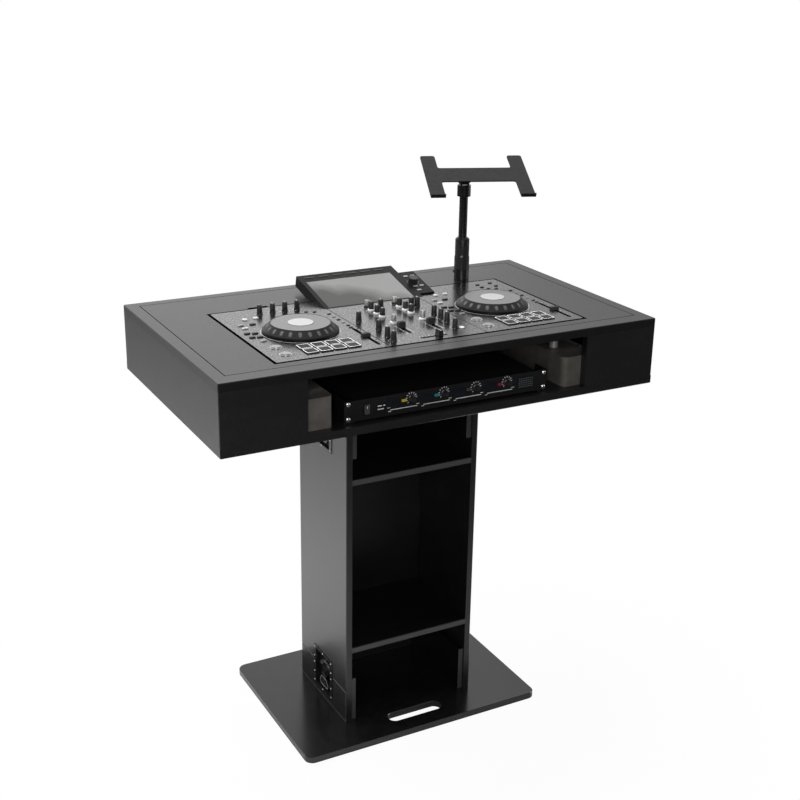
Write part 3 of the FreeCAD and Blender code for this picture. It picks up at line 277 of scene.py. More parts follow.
class Wires:
    """The nodes of a material or of the world, with a short call for each kind used here."""

    def __init__(self, owner):
        owner.use_nodes = True
        self.nodes = owner.node_tree.nodes
        self.links = owner.node_tree.links
        self.shader = self.nodes.get("Principled BSDF")

    def feed(self, socket, value):
        """Links a node's output to a socket, or sets a plain value on it."""
        if isinstance(value, bpy.types.NodeSocket):
            self.links.new(value, socket)
        else:
            socket.default_value = value

    def add(self, kind, inputs=None, **settings):
        """A node of a kind, with its settings and its inputs by name or number."""
        node = self.nodes.new(f"ShaderNode{kind}")
        for name, value in settings.items():
            setattr(node, name, value)
        for socket, value in (inputs or {}).items():
            self.feed(node.inputs[socket], value)
        return node

    def paint(self, **looks):
        """Feeds the shader's sockets, whose names are written with underscores."""
        for name, value in looks.items():
            self.feed(self.shader.inputs[name.replace("_", " ")], value)

    def source(self, socket):
        """The node output that feeds one of the shader's sockets."""
        return self.shader.inputs[socket].links[0].from_socket

    def place(self, kind="Object"):
        """Coordinates of the point that is shaded."""
        return self.add("TexCoord").outputs[kind]

    def axes(self, kind="Object"):
        """The same coordinates as separate X, Y and Z."""
        return self.add("SeparateXYZ", {"Vector": self.place(kind)}).outputs

    def mapped(self, source, scale, shift=(0, 0, 0)):
        """Coordinates times a scale, then moved by a shift."""
        return self.add("Mapping", {"Vector": source, "Scale": scale, "Location": shift}).outputs["Vector"]

    def noise(self, source, scale, stretch=(1, 1, 1), detail=5.0):
        """Noise on stretched coordinates."""
        inputs = {"Vector": self.mapped(source, stretch), "Scale": scale, "Detail": detail}
        return self.add("TexNoise", inputs).outputs["Fac"]

    def spread(self, source, low, high, start=0.3, end=0.7):
        """Carries a value from start..end over to low..high and holds it there."""
        inputs = {"Value": source, "From Min": start, "From Max": end, "To Min": low, "To Max": high}
        return self.add("MapRange", inputs).outputs["Result"]

    def math(self, operation, *values):
        """One value from one or two."""
        return self.add("Math", dict(enumerate(values)), operation=operation).outputs["Value"]

    def product(self, first, *others):
        """Values multiplied together."""
        for other in others:
            first = self.math("MULTIPLY", first, other)
        return first

    def measure(self, operation, *vectors):
        """One value from one or two vectors."""
        return self.add("VectorMath", dict(enumerate(vectors)), operation=operation).outputs["Value"]

    def mix(self, share, first, second, blend_type="MIX"):
        """A colour between two, by a share."""
        node = self.add("Mix", data_type="RGBA", blend_type=blend_type)
        for name, value in (("Factor", share), ("A", first), ("B", second)):
            self.feed(node.inputs[name], value)
        return node.outputs["Result"]

    def relief(self, source, height, strength):
        """Raises the surface by a value, as bump on the shader's normal."""
        inputs = {"Height": source, "Distance": height, "Strength": strength}
        self.paint(Normal=self.add("Bump", inputs).outputs["Normal"])


GRAIN_DETAIL = 3.0
GRAIN_HEIGHT = 0.0004


def grained(name, tones, rough, drift, grain, stretch=(1, 1, 1), relief=0.2, metal=0.0, shine=0.5, warm=0.0):
    """A finish whose colour drifts between two tones at one scale, with a finer grain in gloss and relief."""
    finish = bpy.data.materials.new(name)
    wires = Wires(finish)
    place = wires.place()
    broad = wires.noise(place, drift, stretch)
    fine = wires.noise(place, grain, stretch, GRAIN_DETAIL)
    dark, light = [shade(tone, warm) for tone in tones]
    wires.paint(Base_Color=wires.mix(wires.spread(broad, 0, 1), dark, light),
                Roughness=wires.spread(fine, *rough), Metallic=metal, Specular_IOR_Level=shine)
    wires.relief(fine, GRAIN_HEIGHT, relief)
    return finish


BOARD_RUN = (0.35, 1, 1)
TOP_BOARD = dict(tones=(0.011, 0.015), rough=(0.28, 0.34), drift=60, grain=420, stretch=(0.3, 1, 1),
                 relief=0.03, shine=0.75, warm=0.03)
# Boards inside the column: darker than the same laminate outside, painted shade, and less glossy
SHADED_BOARD = dict(tones=(0.003, 0.006), rough=(0.34, 0.46), drift=26, grain=900, stretch=BOARD_RUN,
                   relief=0.05, shine=0.35)
LAMP_COVER = dict(rough=(0.3, 0.4), drift=500, grain=2000, relief=0.03)
POLE_COAT = dict(tones=(0.008, 0.012), drift=80, grain=2600, stretch=(1, 1, 0.1), relief=0.03)
BRIGHT_METAL = dict(drift=400, grain=3000, relief=0.03)
PALE_PLASTIC = dict(drift=300, grain=2400, relief=0.05)
PRINT_INK = dict(drift=500, grain=2400, relief=0.03)
FINISH_SHEET = {
    "black_laminate": dict(tones=(0.005, 0.009), rough=(0.27, 0.36), drift=26, grain=900,
                           stretch=BOARD_RUN, relief=0.05, shine=0.85),
    "top_laminate": TOP_BOARD,
    "lid_laminate": TOP_BOARD,
    "inner_laminate_shaded": SHADED_BOARD,
    "shelf_laminate": SHADED_BOARD,
    "tongue_laminate": SHADED_BOARD,
    # Painted highlights along the edges of the lower cheek boards
    "highlight_grey": dict(tones=(0.09, 0.12), rough=(0.4, 0.5), drift=60, grain=1500, relief=0.05),
    "foot_rubber": dict(tones=(0.012, 0.02), rough=(0.6, 0.8), drift=200, grain=2500),
    "block_paint": dict(tones=(0.085, 0.12), rough=(0.5, 0.65), drift=40, grain=1500, relief=0.15,
                        warm=0.1),
    "latch_black": dict(tones=(0.006, 0.012), rough=(0.2, 0.32), drift=120, grain=2200, relief=0.12,
                        shine=0.6),
    # Painted highlights on the edges of the latch wings and hooks
    "edge_highlight": dict(tones=(0.38, 0.55), rough=(0.3, 0.45), **BRIGHT_METAL),
    "rivet_steel": dict(tones=(0.45, 0.65), rough=(0.15, 0.28), metal=1.0, **BRIGHT_METAL),
    "screw_steel": dict(tones=(0.7, 0.85), rough=(0.12, 0.22), metal=1.0, **BRIGHT_METAL),
    "rack_black": dict(tones=(0.004, 0.007), rough=(0.4, 0.52), drift=60, grain=2600, shine=0.35),
    "pole_black": dict(rough=(0.16, 0.24), **POLE_COAT),
    "grip_black": dict(rough=(0.2, 0.28), shine=0.7, **POLE_COAT),
    "tray_black": dict(tones=(0.01, 0.016), rough=(0.42, 0.55), drift=80, grain=2200, relief=0.04,
                       shine=0.25),
    "base_black": dict(tones=(0.007, 0.012), rough=(0.16, 0.24), drift=40, grain=1800, relief=0.04),
    "plate_silver": dict(tones=(0.09, 0.38), rough=(0.18, 0.28), drift=260, grain=600, relief=0.04,
                         metal=1.0),
    "case_black": dict(tones=(0.011, 0.018), rough=(0.32, 0.45), drift=150, grain=2400, relief=0.12),
    "screen_black": dict(tones=(0.004, 0.008), rough=(0.3, 0.42), drift=150, grain=2400, relief=0.08,
                         shine=0.12),
    "foot_silver": dict(tones=(0.5, 0.7), rough=(0.26, 0.4), drift=300, grain=1800,
                        stretch=(1, 1, 8), relief=0.06, metal=0.6, warm=0.04),
    "control_black": dict(tones=(0.01, 0.017), rough=(0.28, 0.4), drift=300, grain=3000, relief=0.12,
                          shine=0.6),
    "control_silver": dict(tones=(0.4, 0.55), rough=(0.22, 0.34), drift=300, grain=1800, relief=0.05,
                           metal=0.8),
    "ring_white": dict(tones=(0.82, 0.92), rough=(0.35, 0.5), **PALE_PLASTIC),
    "button_pale": dict(tones=(0.45, 0.6), rough=(0.3, 0.45), **PALE_PLASTIC),
    "print_white": dict(tones=(0.8, 0.92), rough=(0.45, 0.6), **PRINT_INK),
    "print_black": dict(tones=(0.003, 0.006), rough=(0.7, 0.85), shine=0.1, **PRINT_INK),
    "pad_rubber": dict(tones=(0.02, 0.035), rough=(0.45, 0.6), drift=250, grain=2600, relief=0.15,
                       shine=0.25),
    "key_metal": dict(tones=(0.3, 0.5), rough=(0.25, 0.4), drift=300, grain=2000, relief=0.06, metal=0.7),
    "display_dark": dict(tones=((0.006, 0.008, 0.012), (0.012, 0.015, 0.022)), rough=(0.06, 0.12),
                         drift=300, grain=900, relief=0.01),
    "lamp_yellow": dict(tones=((0.55, 0.42, 0.02), (0.7, 0.55, 0.04)), **LAMP_COVER),
    "lamp_teal": dict(tones=((0.01, 0.22, 0.28), (0.02, 0.32, 0.4)), **LAMP_COVER),
    "lamp_grey": dict(tones=(0.05, 0.09), **LAMP_COVER),
    "lamp_red": dict(tones=((0.25, 0.01, 0.05), (0.35, 0.02, 0.08)), **LAMP_COVER),
    "grille_grey": dict(tones=((0.05, 0.06, 0.055), (0.1, 0.115, 0.105)), rough=(0.4, 0.55),
                        drift=400, grain=2000, relief=0.1),
}
FINISH = {name: grained(name, **sheet) for name, sheet in FINISH_SHEET.items()}

# Jog wheel: tones by radius up to WHEEL_SPAN, the last a painted shadow at the rim's foot, then the dimples,
# painted highlights as paler spots on the rim
WHEEL_SPAN = 100.0
WHEEL_TONES = [(0.0, 0.5), (26.8, 0.08), (27.5, 0.2), (62.2, 0.017), (79.0, 0.002)]
DIMPLES = 22
DIMPLE_HIGHLIGHT = 0.13
DIMPLE_RISE = (65.5, 69.0)
DIMPLE_FALL = (72.0, 75.5)
DIMPLE_WAVE = (0.2, 0.9)
WHEEL_SPECK = 900
SPECK_TONES = (0.82, 1.0)
LATHE_WAVES = 500
LATHE_ROUGH = (0.36, 0.46)
LATHE_HEIGHT = 0.0001
LATHE_RELIEF = 0.06
WHEEL_SHINE = 0.25


def wheel_finish(name, wheel):
    """Pale centre plate, turned grey disc and dark rim by the distance from the wheel's axis, the outermost
    band a painted shadow at the rim's foot, with fine turning lines from the sine of the distance, and
    painted highlights as spots on the rim from the cosine of the angle times their number."""
    finish = bpy.data.materials.new(name)
    wires = Wires(finish)
    place = wires.place()
    x, y, _ = middle(wheel) * MM
    from_axis = wires.mapped(place, (1, 1, 0), (-x, -y, 0))
    radius = wires.measure("LENGTH", from_axis)
    ramp = wires.add("ValToRGB", {"Fac": wires.spread(radius, 0, 1, 0, WHEEL_SPAN * MM)})
    ramp.color_ramp.interpolation = "CONSTANT"
    stops = ramp.color_ramp.elements
    while len(stops) < len(WHEEL_TONES):
        stops.new(0.5)
    for stop, (reach, tone) in zip(stops, WHEEL_TONES):
        stop.position = reach / WHEEL_SPAN
        stop.color = shade(tone)
    apart = wires.add("SeparateXYZ", {"Vector": from_axis}).outputs
    angle = wires.math("ARCTAN2", apart["Y"], apart["X"])
    turns = wires.spread(angle, -DIMPLES * np.pi, DIMPLES * np.pi, -np.pi, np.pi)
    wave = wires.spread(wires.math("COSINE", turns), 0, 1, *DIMPLE_WAVE)
    rise = wires.spread(radius, 0, 1, *[reach * MM for reach in DIMPLE_RISE])
    fall = wires.spread(radius, 1, 0, *[reach * MM for reach in DIMPLE_FALL])
    spotted = wires.mix(wires.product(rise, fall, wave), ramp.outputs["Color"], shade(DIMPLE_HIGHLIGHT))
    speck = wires.spread(wires.noise(place, WHEEL_SPECK), 0, 1)
    specks = wires.mix(speck, *[shade(tone) for tone in SPECK_TONES])
    lines = wires.math("SINE", wires.spread(radius, 0, LATHE_WAVES, 0, WHEEL_SPAN * MM))
    wires.paint(Base_Color=wires.mix(1.0, spotted, specks, "MULTIPLY"), Specular_IOR_Level=WHEEL_SHINE,
                Roughness=wires.spread(lines, *LATHE_ROUGH, -1, 1))
    wires.relief(lines, LATHE_HEIGHT, LATHE_RELIEF)
    return finish


GLASS_SLANT = (0.5, 0.87, 0)
GLASS_SMEAR = 14
GLASS_WANDER = 0.012
GLASS_EDGE = (0.085, 0.135)
GLASS_DARK = shade(0.03, 0.03)
GLASS_SHEEN = shade(0.18, 0.01)
GLASS_ROUGH = (0.1, 0.16)


def glass_finish():
    """Glass over a grey display: a painted reflection, paler, fills the upper right and ends on a soft
    slanting edge.
    """
    finish = bpy.data.materials.new("display_glass")
    wires = Wires(finish)
    place = wires.place()
    smear = wires.noise(place, GLASS_SMEAR)
    slant = wires.measure("DOT_PRODUCT", place, GLASS_SLANT)
    edge = wires.math("ADD", slant, wires.spread(smear, -GLASS_WANDER, GLASS_WANDER))
    sheen = wires.spread(edge, 0, 1, *GLASS_EDGE)
    wires.paint(Base_Color=wires.mix(sheen, GLASS_DARK, GLASS_SHEEN),
                Roughness=wires.spread(smear, *GLASS_ROUGH))
    return finish


for side in SIDES:
    FINISH[f"jog_{side}"] = wheel_finish(f"jog_{side}", f"jog_wheel_{side}")
FINISH["display_glass"] = glass_finish()

BELOW_FADE = (0.4, 0.1)
FRONT_EDGE_DEPTH = 0.5
GRIP_TOP = 1041.0
MOUTH_GAP = 4.5
MOUTH_SHADOW = 2.0
MOUTH_FADE = 0.3
MOUTH_TONE = 0.002
# A spread over this many metres to each side moves a value without stretching it
FAR = 1.0
NEAR = 0.1


def tone_below(name, axis, level, tone, shine):
    """Gives a finish another tone and shine below a level on one axis."""
    wires = Wires(FINISH[name])
    above = wires.spread(wires.axes()[axis], 0, 1, *[(level - fade) * MM for fade in BELOW_FADE])
    colour = wires.source("Base Color")
    gloss = wires.shader.inputs["Specular IOR Level"].default_value
    wires.paint(Base_Color=wires.mix(above, shade(tone), colour),
                Specular_IOR_Level=wires.spread(above, shine, gloss, 0, 1))


def darken_round(name, low, high):
    """Darkens a finish close round a rectangle, where the larger of the distances past its sides in X and Y
    is under the shadow's width: the shade at the mouth that the deck drops into."""
    wires = Wires(FINISH[name])
    axes = wires.axes()
    outside = []
    for axis, centre, half in zip("XY", (low + high) / 2 * MM, (high - low) / 2 * MM):
        away = wires.math("ABSOLUTE", wires.spread(axes[axis], -FAR, FAR, centre - FAR, centre + FAR))
        outside.append(wires.spread(away, -NEAR, NEAR, half - NEAR, half + NEAR))
    fade = [(MOUTH_SHADOW + step) * MM for step in (-MOUTH_FADE, MOUTH_FADE)]
    clear = wires.spread(wires.math("MAXIMUM", *outside), 0, 1, *fade)
    colour, gloss = wires.source("Base Color"), wires.source("Specular IOR Level")
    wires.paint(Base_Color=wires.mix(clear, shade(MOUTH_TONE), colour),
                Specular_IOR_Level=wires.product(clear, gloss))


# The top frame's faces below its top, darker and less glossy
tone_below("top_laminate", "Z", LID_TOP, tone=0.007, shine=0.6)
# Painted shade in the gap round the deck: the lid's edges black without shine, and a painted shadow on the
# lid round its mouth
tone_below("lid_laminate", "Z", LID_TOP, tone=0.001, shine=0.0)
darken_round("lid_laminate", *[corner[:2] + sign * MOUTH_GAP
                               for corner, sign in zip(corners("controller_plate"), (-1, 1))])
# Painted shade in the gap round the deck: the plate's edges black without shine
tone_below("plate_silver", "Z", DECK_TOP, tone=0.001, shine=0.0)
# Painted light: the base plate's edge faces paler than its top, where the floor in front lights them
tone_below("base_black", "Z", PLATE_TOP, tone=0.03, shine=0.5)
# The clutch below its collar: a matt grip, paler and less glossy
tone_below("grip_black", "Z", GRIP_TOP, tone=0.026, shine=0.2)
# Painted highlight: the shelves' front edges paler and glossier than their faces
tone_below("shelf_laminate", "Y", front("column_shelves") + FRONT_EDGE_DEPTH, tone=0.06, shine=0.5)
# The locating tongues' front edges paler and glossier than their faces
tone_below("tongue_laminate", "Y", front("locating_tongues") + FRONT_EDGE_DEPTH, tone=0.05, shine=0.5)

NODE_FINISH = {
    "base_black": ["base_plate"],
    "black_laminate": ["cheek_boards", "column_sides", "table_walls", "table_floor"],
    "top_laminate": ["table_top_frame"],
    "lid_laminate": ["lid_panel"],
    "inner_laminate_shaded": ["column_back"],
    "shelf_laminate": ["column_shelves"],
    "tongue_laminate": ["locating_tongues"],
    "foot_rubber": ["base_feet"],
    "block_paint": ["support_blocks"],
    "latch_black": ["latch_plates"] + [f"latch_{kind}_{level}_{side}" for kind in ("hook", "wing")
                                       for level in SEAMS for side in SIDES],
    "rack_black": ["rack_rails", "receiver_panel", "receiver_chassis"],
    "pole_black": ["stand_tube", "stand_rod", "stand_head"],
    "grip_black": ["stand_clutch"],
    "tray_black": ["laptop_tray"],
    "plate_silver": ["controller_plate"],
    "case_black": ["controller_case"],
    "screen_black": ["screen_housing"],
    "foot_silver": ["controller_feet"],
    "display_glass": ["screen_glass"],
    "control_black": ["browse_knob", "panel_knobs", "deck_buttons", *FADERS, *DECK_KNOBS, *RECEIVER_KNOBS],
    "jog_left": ["jog_wheel_left"],
    "jog_right": ["jog_wheel_right"],
    "pad_rubber": ["pads_left", "pads_right"],
    "key_metal": ["play_keys_left", "play_keys_right"],
}
for finish, names in NODE_FINISH.items():
    for name in names:
        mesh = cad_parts[name].data
        mesh.materials.clear()
        mesh.materials.append(FINISH[finish])


# Latches and column

LATCH_MIDDLE = middle("column_sides")[1]
FLANGE = corners("latch_plates")[1][0] - COLUMN_SIDE
RIVET = [(2.4, 0), (2.4, 0.3), (2.1, 0.9), (1.3, 1.4), (0.5, 1.6)]
RIVET_COLUMNS = 16
RIVET_ACROSS = 45.5
RIVET_ROWS = (-58.0, -34.0, -8.0, 9.0, 33.0)
RIVET_ENDS = (-61.5, 36.0)
SPINDLE_DROP = 22.0
WING = {"neck": 26.0, "width": 44.0, "start": 8.0, "length": 30.0, "corner": 7.0, "sink": 2.0}
HOOK = {"catch": 29.5, "wall": 5.5, "start": 55.0, "end": 150.0, "roof": -7.5}
CORNER_STEPS = 6
# Painted highlights on the latches: how far they stand out, the wing band's width, the hook arcs' inner and
# outer reach
HIGHLIGHT_RISE = 0.25
HIGHLIGHT_WING = 1.0
HIGHLIGHT_HOOK = (0.1, 0.7)
CHEEK_HIGHLIGHT = {"out": 0.2, "thick": 0.5, "wide": 1.0, "rise": 0.6}


def make_rivets():
    """Domed rivets round the flanges of each latch: five pairs down its sides and one in each end."""
    dome = turned(RIVET, RIVET_COLUMNS)
    places = [(sign * RIVET_ACROSS, z) for sign in (-1, 1) for z in RIVET_ROWS]
    places += [(0.0, z) for z in RIVET_ENDS]
    shapes = [on_side(dome, side, LATCH_MIDDLE + y, seam + z, FLANGE)
              for side in SIDES for seam in SEAMS.values() for y, z in places]
    piece("latch_rivets", shapes, ["rivet_steel"], "booth")


def wing_band(band, height):
    """A flat band along the outline of a latch wing: a neck that widens to a handle with two round corners.
    The inner outline is the outer one drawn in towards its centre by the band's share of each half size."""
    neck, wide, corner, length = WING["neck"] / 2, WING["width"] / 2, WING["corner"], WING["length"]
    shoulder = -(WING["start"] + length) / 2
    turn = np.linspace(np.pi, 1.5 * np.pi, CORNER_STEPS)
    bend = np.stack([corner - wide + corner * np.cos(turn), corner - length + corner * np.sin(turn)], -1)
    left = np.concatenate([[(-neck, -WING["start"]), (-wide, shoulder)], bend])
    outer = np.concatenate([left, left[::-1] * (-1, 1)])
    centre = np.array([0.0, shoulder])
    inner = centre + (outer - centre) * (1 - band / np.array([wide, length + shoulder]))
    return band_between(outer, inner, height)


def make_latch_edges():
    """Bright painted highlights on the latch edges: a band round the outline of each wing and two arcs along
    each hook's crescent.
    """
    near, far = HIGHLIGHT_HOOK
    inside, outside = HOOK["catch"], HOOK["catch"] + HOOK["wall"]
    arcs = [arc_band(low, high, HOOK["start"], HOOK["end"], HIGHLIGHT_RISE)
            for low, high in ((inside + near, inside + far), (outside - far, outside - near))]
    for level, seam in SEAMS.items():
        for side in SIDES:
            place = (side, LATCH_MIDDLE, seam - SPINDLE_DROP)
            hook, wing = f"latch_hook_{level}_{side}", f"latch_wing_{level}_{side}"
            crescent = [on_side(arc, *place, HOOK["roof"]) for arc in arcs]
            handle = on_side(wing_band(HIGHLIGHT_WING, HIGHLIGHT_RISE), *place, -WING["sink"])
            piece(f"{hook}_edges", crescent, ["edge_highlight"], hook)
            piece(f"{wing}_edge", [handle], ["edge_highlight"], wing)


def make_cheek_highlights():
    """Slim pale strips along the foot and the front of each lower cheek board: painted highlights on the
    laminate's edges.
    """
    thick, wide = CHEEK_HIGHLIGHT["thick"], CHEEK_HIGHLIGHT["wide"]
    depth, height = COLUMN_HIGH[1] - COLUMN_LOW[1], SEAMS["lower"] - PLATE_TOP
    shapes = []
    for sign in SIDES.values():
        x = sign * (COLUMN_SIDE + CHEEK_HIGHLIGHT["out"])
        shapes.append(bars((x, LATCH_MIDDLE, PLATE_TOP + CHEEK_HIGHLIGHT["rise"]), (thick, depth, wide)))
        shapes.append(bars((x, COLUMN_LOW[1] + wide / 2, PLATE_TOP + height / 2), (thick, wide, height)))
    piece("cheek_highlights", shapes, ["highlight_grey"], "booth")


# Receiver: places are X, and height above the panel's middle

EAR_X = 232.55
EAR_Z = 15.9
EAR_COLUMNS = 28
EAR_WASHER = {"outer": 5.2, "inner": 2.6, "height": 0.7}
EAR_SCREW = [(3.9, 0.7), (3.9, 1.6), (3.2, 2.4), (2.4, 2.7), (2.2, 2.1), (0.6, 2.0)]
DISPLAY = {"width": 34, "length": 19, "height": 0.8, "bevel": 0.3}
DISPLAY_SHIFT, DISPLAY_Z = -43, 5.0
LAMP = {"width": 11, "length": 6, "height": 0.9, "bevel": 0.3}
LAMP_SHIFT, LAMP_Z = -17, 5.5
LAMP_COLOURS = ("yellow", "teal", "grey", "red")
PRINT_THICK = 0.12
PANEL_PRINT = 0.08
SCALE_TURNS = np.radians(np.arange(-140, 141, 28)) + np.pi / 2
PANEL_SCALE = {"radius": 11.4, "length": 3.2, "width": 1.4, "lift": PANEL_PRINT}
# Label bars: the X and Z of the middle, the length and the width
KNOB_LABELS = np.array([(-17, 0, 62, 1.5), (-50, -3, 6, 1.3), (15, 4, 7, 1.3)])
KNOB_LABEL_Z = -10.0
ROCKER_LABELS = np.array([(-162, 2.5, 10, 2.0), (-147, 2.5, 14, 2.0),
                          (-160, -4.5, 14, 2.0), (-142, -4.5, 8, 2.0)])
ROCKER_PLACE = (-191, -0.5)
ROCKER_FRAME = {"width": 15, "length": 24, "band": 1.6, "height": 1.2}
ROCKER_CAP = {"width": 11.4, "length": 20.4, "height": 2.4, "bevel": 1.0}
ROCKER_MARK = {"middles": (0, 4.6, 2.45), "sizes": (1.2, 5.0, PRINT_THICK)}
GRILLE_PLACE = (187, 0.5)
GRILLE_PLATE = {"width": 44, "length": 28, "height": 0.4, "bevel": 0.2}
GRILLE_SLOTS = [(x, z, 0.4) for x in np.arange(-16, 17, 4.6) for z in (-9, -4.5, 0, 4.5, 9)]
GRILLE_SLOT = (3.2, 2.2, 0.5)


def ticks(radius, length, width, lift):
    """Short bars round a knob's scale, each along its own radius."""
    middles = [radius * np.cos(SCALE_TURNS), radius * np.sin(SCALE_TURNS), np.full(len(SCALE_TURNS), lift)]
    return bars(np.stack(middles, -1), (length, width, PRINT_THICK), SCALE_TURNS)


def label_bars(labels):
    """Plain printed bars in the places of labels."""
    lift, thick = np.full(len(labels), PANEL_PRINT), np.full(len(labels), PRINT_THICK)
    return bars(np.column_stack([labels[:, :2], lift]), np.column_stack([labels[:, 2:], thick]))


def make_rack_screws():
    """A washer and a screw head with a sunk top in each corner of the panel."""
    parts = (ring(**EAR_WASHER, columns=EAR_COLUMNS), turned(EAR_SCREW, EAR_COLUMNS))
    shapes = [on_panel(part, x, z) for x in (-EAR_X, EAR_X) for z in (-EAR_Z, EAR_Z) for part in parts]
    piece("rack_screws", shapes, ["screw_steel"], "booth")


def make_receiver_displays():
    """A dark display and a coloured lamp to the left of each channel knob."""
    places = [axis_of(name)[0] for name in RECEIVER_KNOBS]
    displays = [on_panel(cap(**DISPLAY), x + DISPLAY_SHIFT, DISPLAY_Z) for x in places]
    piece("receiver_displays", displays, ["display_dark"], "booth")
    for x, colour in zip(places, LAMP_COLOURS):
        lamp = on_panel(cap(**LAMP), x + LAMP_SHIFT, LAMP_Z)
        piece(f"receiver_lamp_{colour}", [lamp], [f"lamp_{colour}"], "booth")


def make_receiver_marks():
    """Scale marks round each channel knob, and plain bars under the knobs and beside the rocker."""
    marks = []
    for name in RECEIVER_KNOBS:
        x, _, z = axis_of(name)
        marks.append(on_panel(ticks(**PANEL_SCALE), x, z - PANEL_MIDDLE))
        marks.append(on_panel(label_bars(KNOB_LABELS), x, KNOB_LABEL_Z))
    marks.append(on_panel(label_bars(ROCKER_LABELS), 0, 0))
    piece("receiver_marks", marks, ["print_white"], "booth")


def make_rocker_and_grille():
    """The rocker switch in its frame with a pale mark, and rows of slots in the plate over the speaker."""
    shapes = (border(**ROCKER_FRAME), cap(**ROCKER_CAP), bars(**ROCKER_MARK))
    rocker = [on_panel(shape, *ROCKER_PLACE) for shape in shapes]
    piece("receiver_rocker", rocker, ["rack_black", "lamp_grey", "print_white"], "booth")
    shapes = (cap(**GRILLE_PLATE), bars(GRILLE_SLOTS, GRILLE_SLOT))
    grille = [on_panel(shape, *GRILLE_PLACE) for shape in shapes]
    piece("receiver_grille", grille, ["display_dark", "grille_grey"], "booth")


# Pole stand

POLE_COLUMNS = 24
SET_SCREW = {"outer": 2.4, "inner": 1.4, "height": 0.8}
# The socket: a black disc of painted shade
SOCKET_SHADE = [(1.4, 0), (1.4, 0.3), (0.3, 0.3)]
SET_PLACE = {"facing": (-0.53, -0.848, 0), "reach": 17.0, "z": 1016.0}
THUMB_SCREW = [(3.4, 0), (3.4, 2.6), (2.6, 3.6)]
THUMB_PLACE = {"facing": (-0.8816, 0.472, 0), "reach": 17.6, "z": 976.0}


def make_pole_screws():
    """A set screw in the front of the clutch, whose socket is a black disc of painted shade, and a thumb
    screw on the left of the tube.
    """
    parts = (ring(**SET_SCREW, columns=POLE_COLUMNS), turned(SOCKET_SHADE, POLE_COLUMNS))
    screw = [on_pole(part, **SET_PLACE) for part in parts]
    piece("clutch_screw", screw, ["rivet_steel", "print_black"], "stand_clutch")
    thumb = on_pole(turned(THUMB_SCREW, POLE_COLUMNS), **THUMB_PLACE)
    piece("tube_screw", [thumb], ["control_black"], "booth")


# Controller: knobs

PANEL_KNOBS = np.array([(-265.0, 98.3), (-234.4, 98.3), (-205.3, 98.3), (-176.2, 98.3), (-28.0, 48.1),
                        (42.0, 48.1), (-4.1, 27.1), (-92.5, -40.8), (-81.5, -113.9), (-87.4, -165.2),
                        (-90.3, -198.0), (65.5, 12.5), (80.1, 11.6), (80.1, -65.2), (80.1, -95.1),
                        (80.1, -122.0), (71.3, -172.2)])
TRIM_KNOBS = [4, 5]
PLAIN_KNOBS = np.delete(np.arange(len(PANEL_KNOBS)), TRIM_KNOBS)
KNOB_HEIGHT = 21.0
TRIM_HEIGHT = 17.0
CHANNEL_SKIRT, CHANNEL_GAP = 8.0, 0.4
PANEL_SKIRT, PANEL_GAP = 6.8, 0.0
FOOT_COLUMNS, WAIST_COLUMNS = 40, 60
KNOB_FLUTES, FLUTE_BITE = 10, 0.6
POINTER_WIDTH, POINTER_DROP = 1.1, 0.6
BLACK_KNOB = ["ring_white", "control_black", "print_white"]
SILVER_KNOB = ["ring_white", "control_silver", "print_black"]


def knob(skirt, height, base):
    """A tall knob: a ring round its foot, a fluted waist that draws in upwards to a domed top, and a pointer
    over its top and side. The profiles are radius and height."""
    rim = [(skirt, base), (skirt, base + 3.4), (skirt - 0.5, base + 4.0), (5.4, base + 4.1)]
    side = [(5.4, base + 4.0), (6.2, base + 4.6), (6.1, height / 2), (5.6, height - 1.6), (5.0, height - 0.5),
            (3.4, height)]
    foot = turned(rim, FOOT_COLUMNS)
    waist = turned(side, WAIST_COLUMNS, KNOB_FLUTES, FLUTE_BITE, (base + 4.5, height - 1.5))
    drop = POINTER_DROP * height
    pointer = bars([(0, 2.9, height - 0.2), (0, 5.7, drop)],
                   [(POINTER_WIDTH, 4.4, 0.5), (POINTER_WIDTH, 0.7, drop)])
    return foot, waist, pointer


def make_knobs():
    """Turning channel knobs one by one, then the seated knobs as two sets; trims and filters are silver."""
    for name in DECK_KNOBS:
        finishes = SILVER_KNOB if "filter" in name else BLACK_KNOB
        x, y, _ = axis_of(name)
        shapes = [on_deck(shape, x, y) for shape in knob(CHANNEL_SKIRT, KNOB_HEIGHT, CHANNEL_GAP)]
        piece(f"{name}_cap", shapes, finishes, name, [name])
    for name, chosen, height, finishes in (
            ("seated_knobs", PLAIN_KNOBS, KNOB_HEIGHT, ["control_black", "control_black", "print_white"]),
            ("trim_knobs", TRIM_KNOBS, TRIM_HEIGHT, ["control_black", "control_silver", "print_black"])):
        layers = [merged([on_deck(layer, x, y) for x, y in PANEL_KNOBS[chosen]])
                  for layer in knob(PANEL_SKIRT, height, PANEL_GAP)]
        piece(name, layers, finishes, "booth", ["panel_knobs"])


# Controller: print on the plate

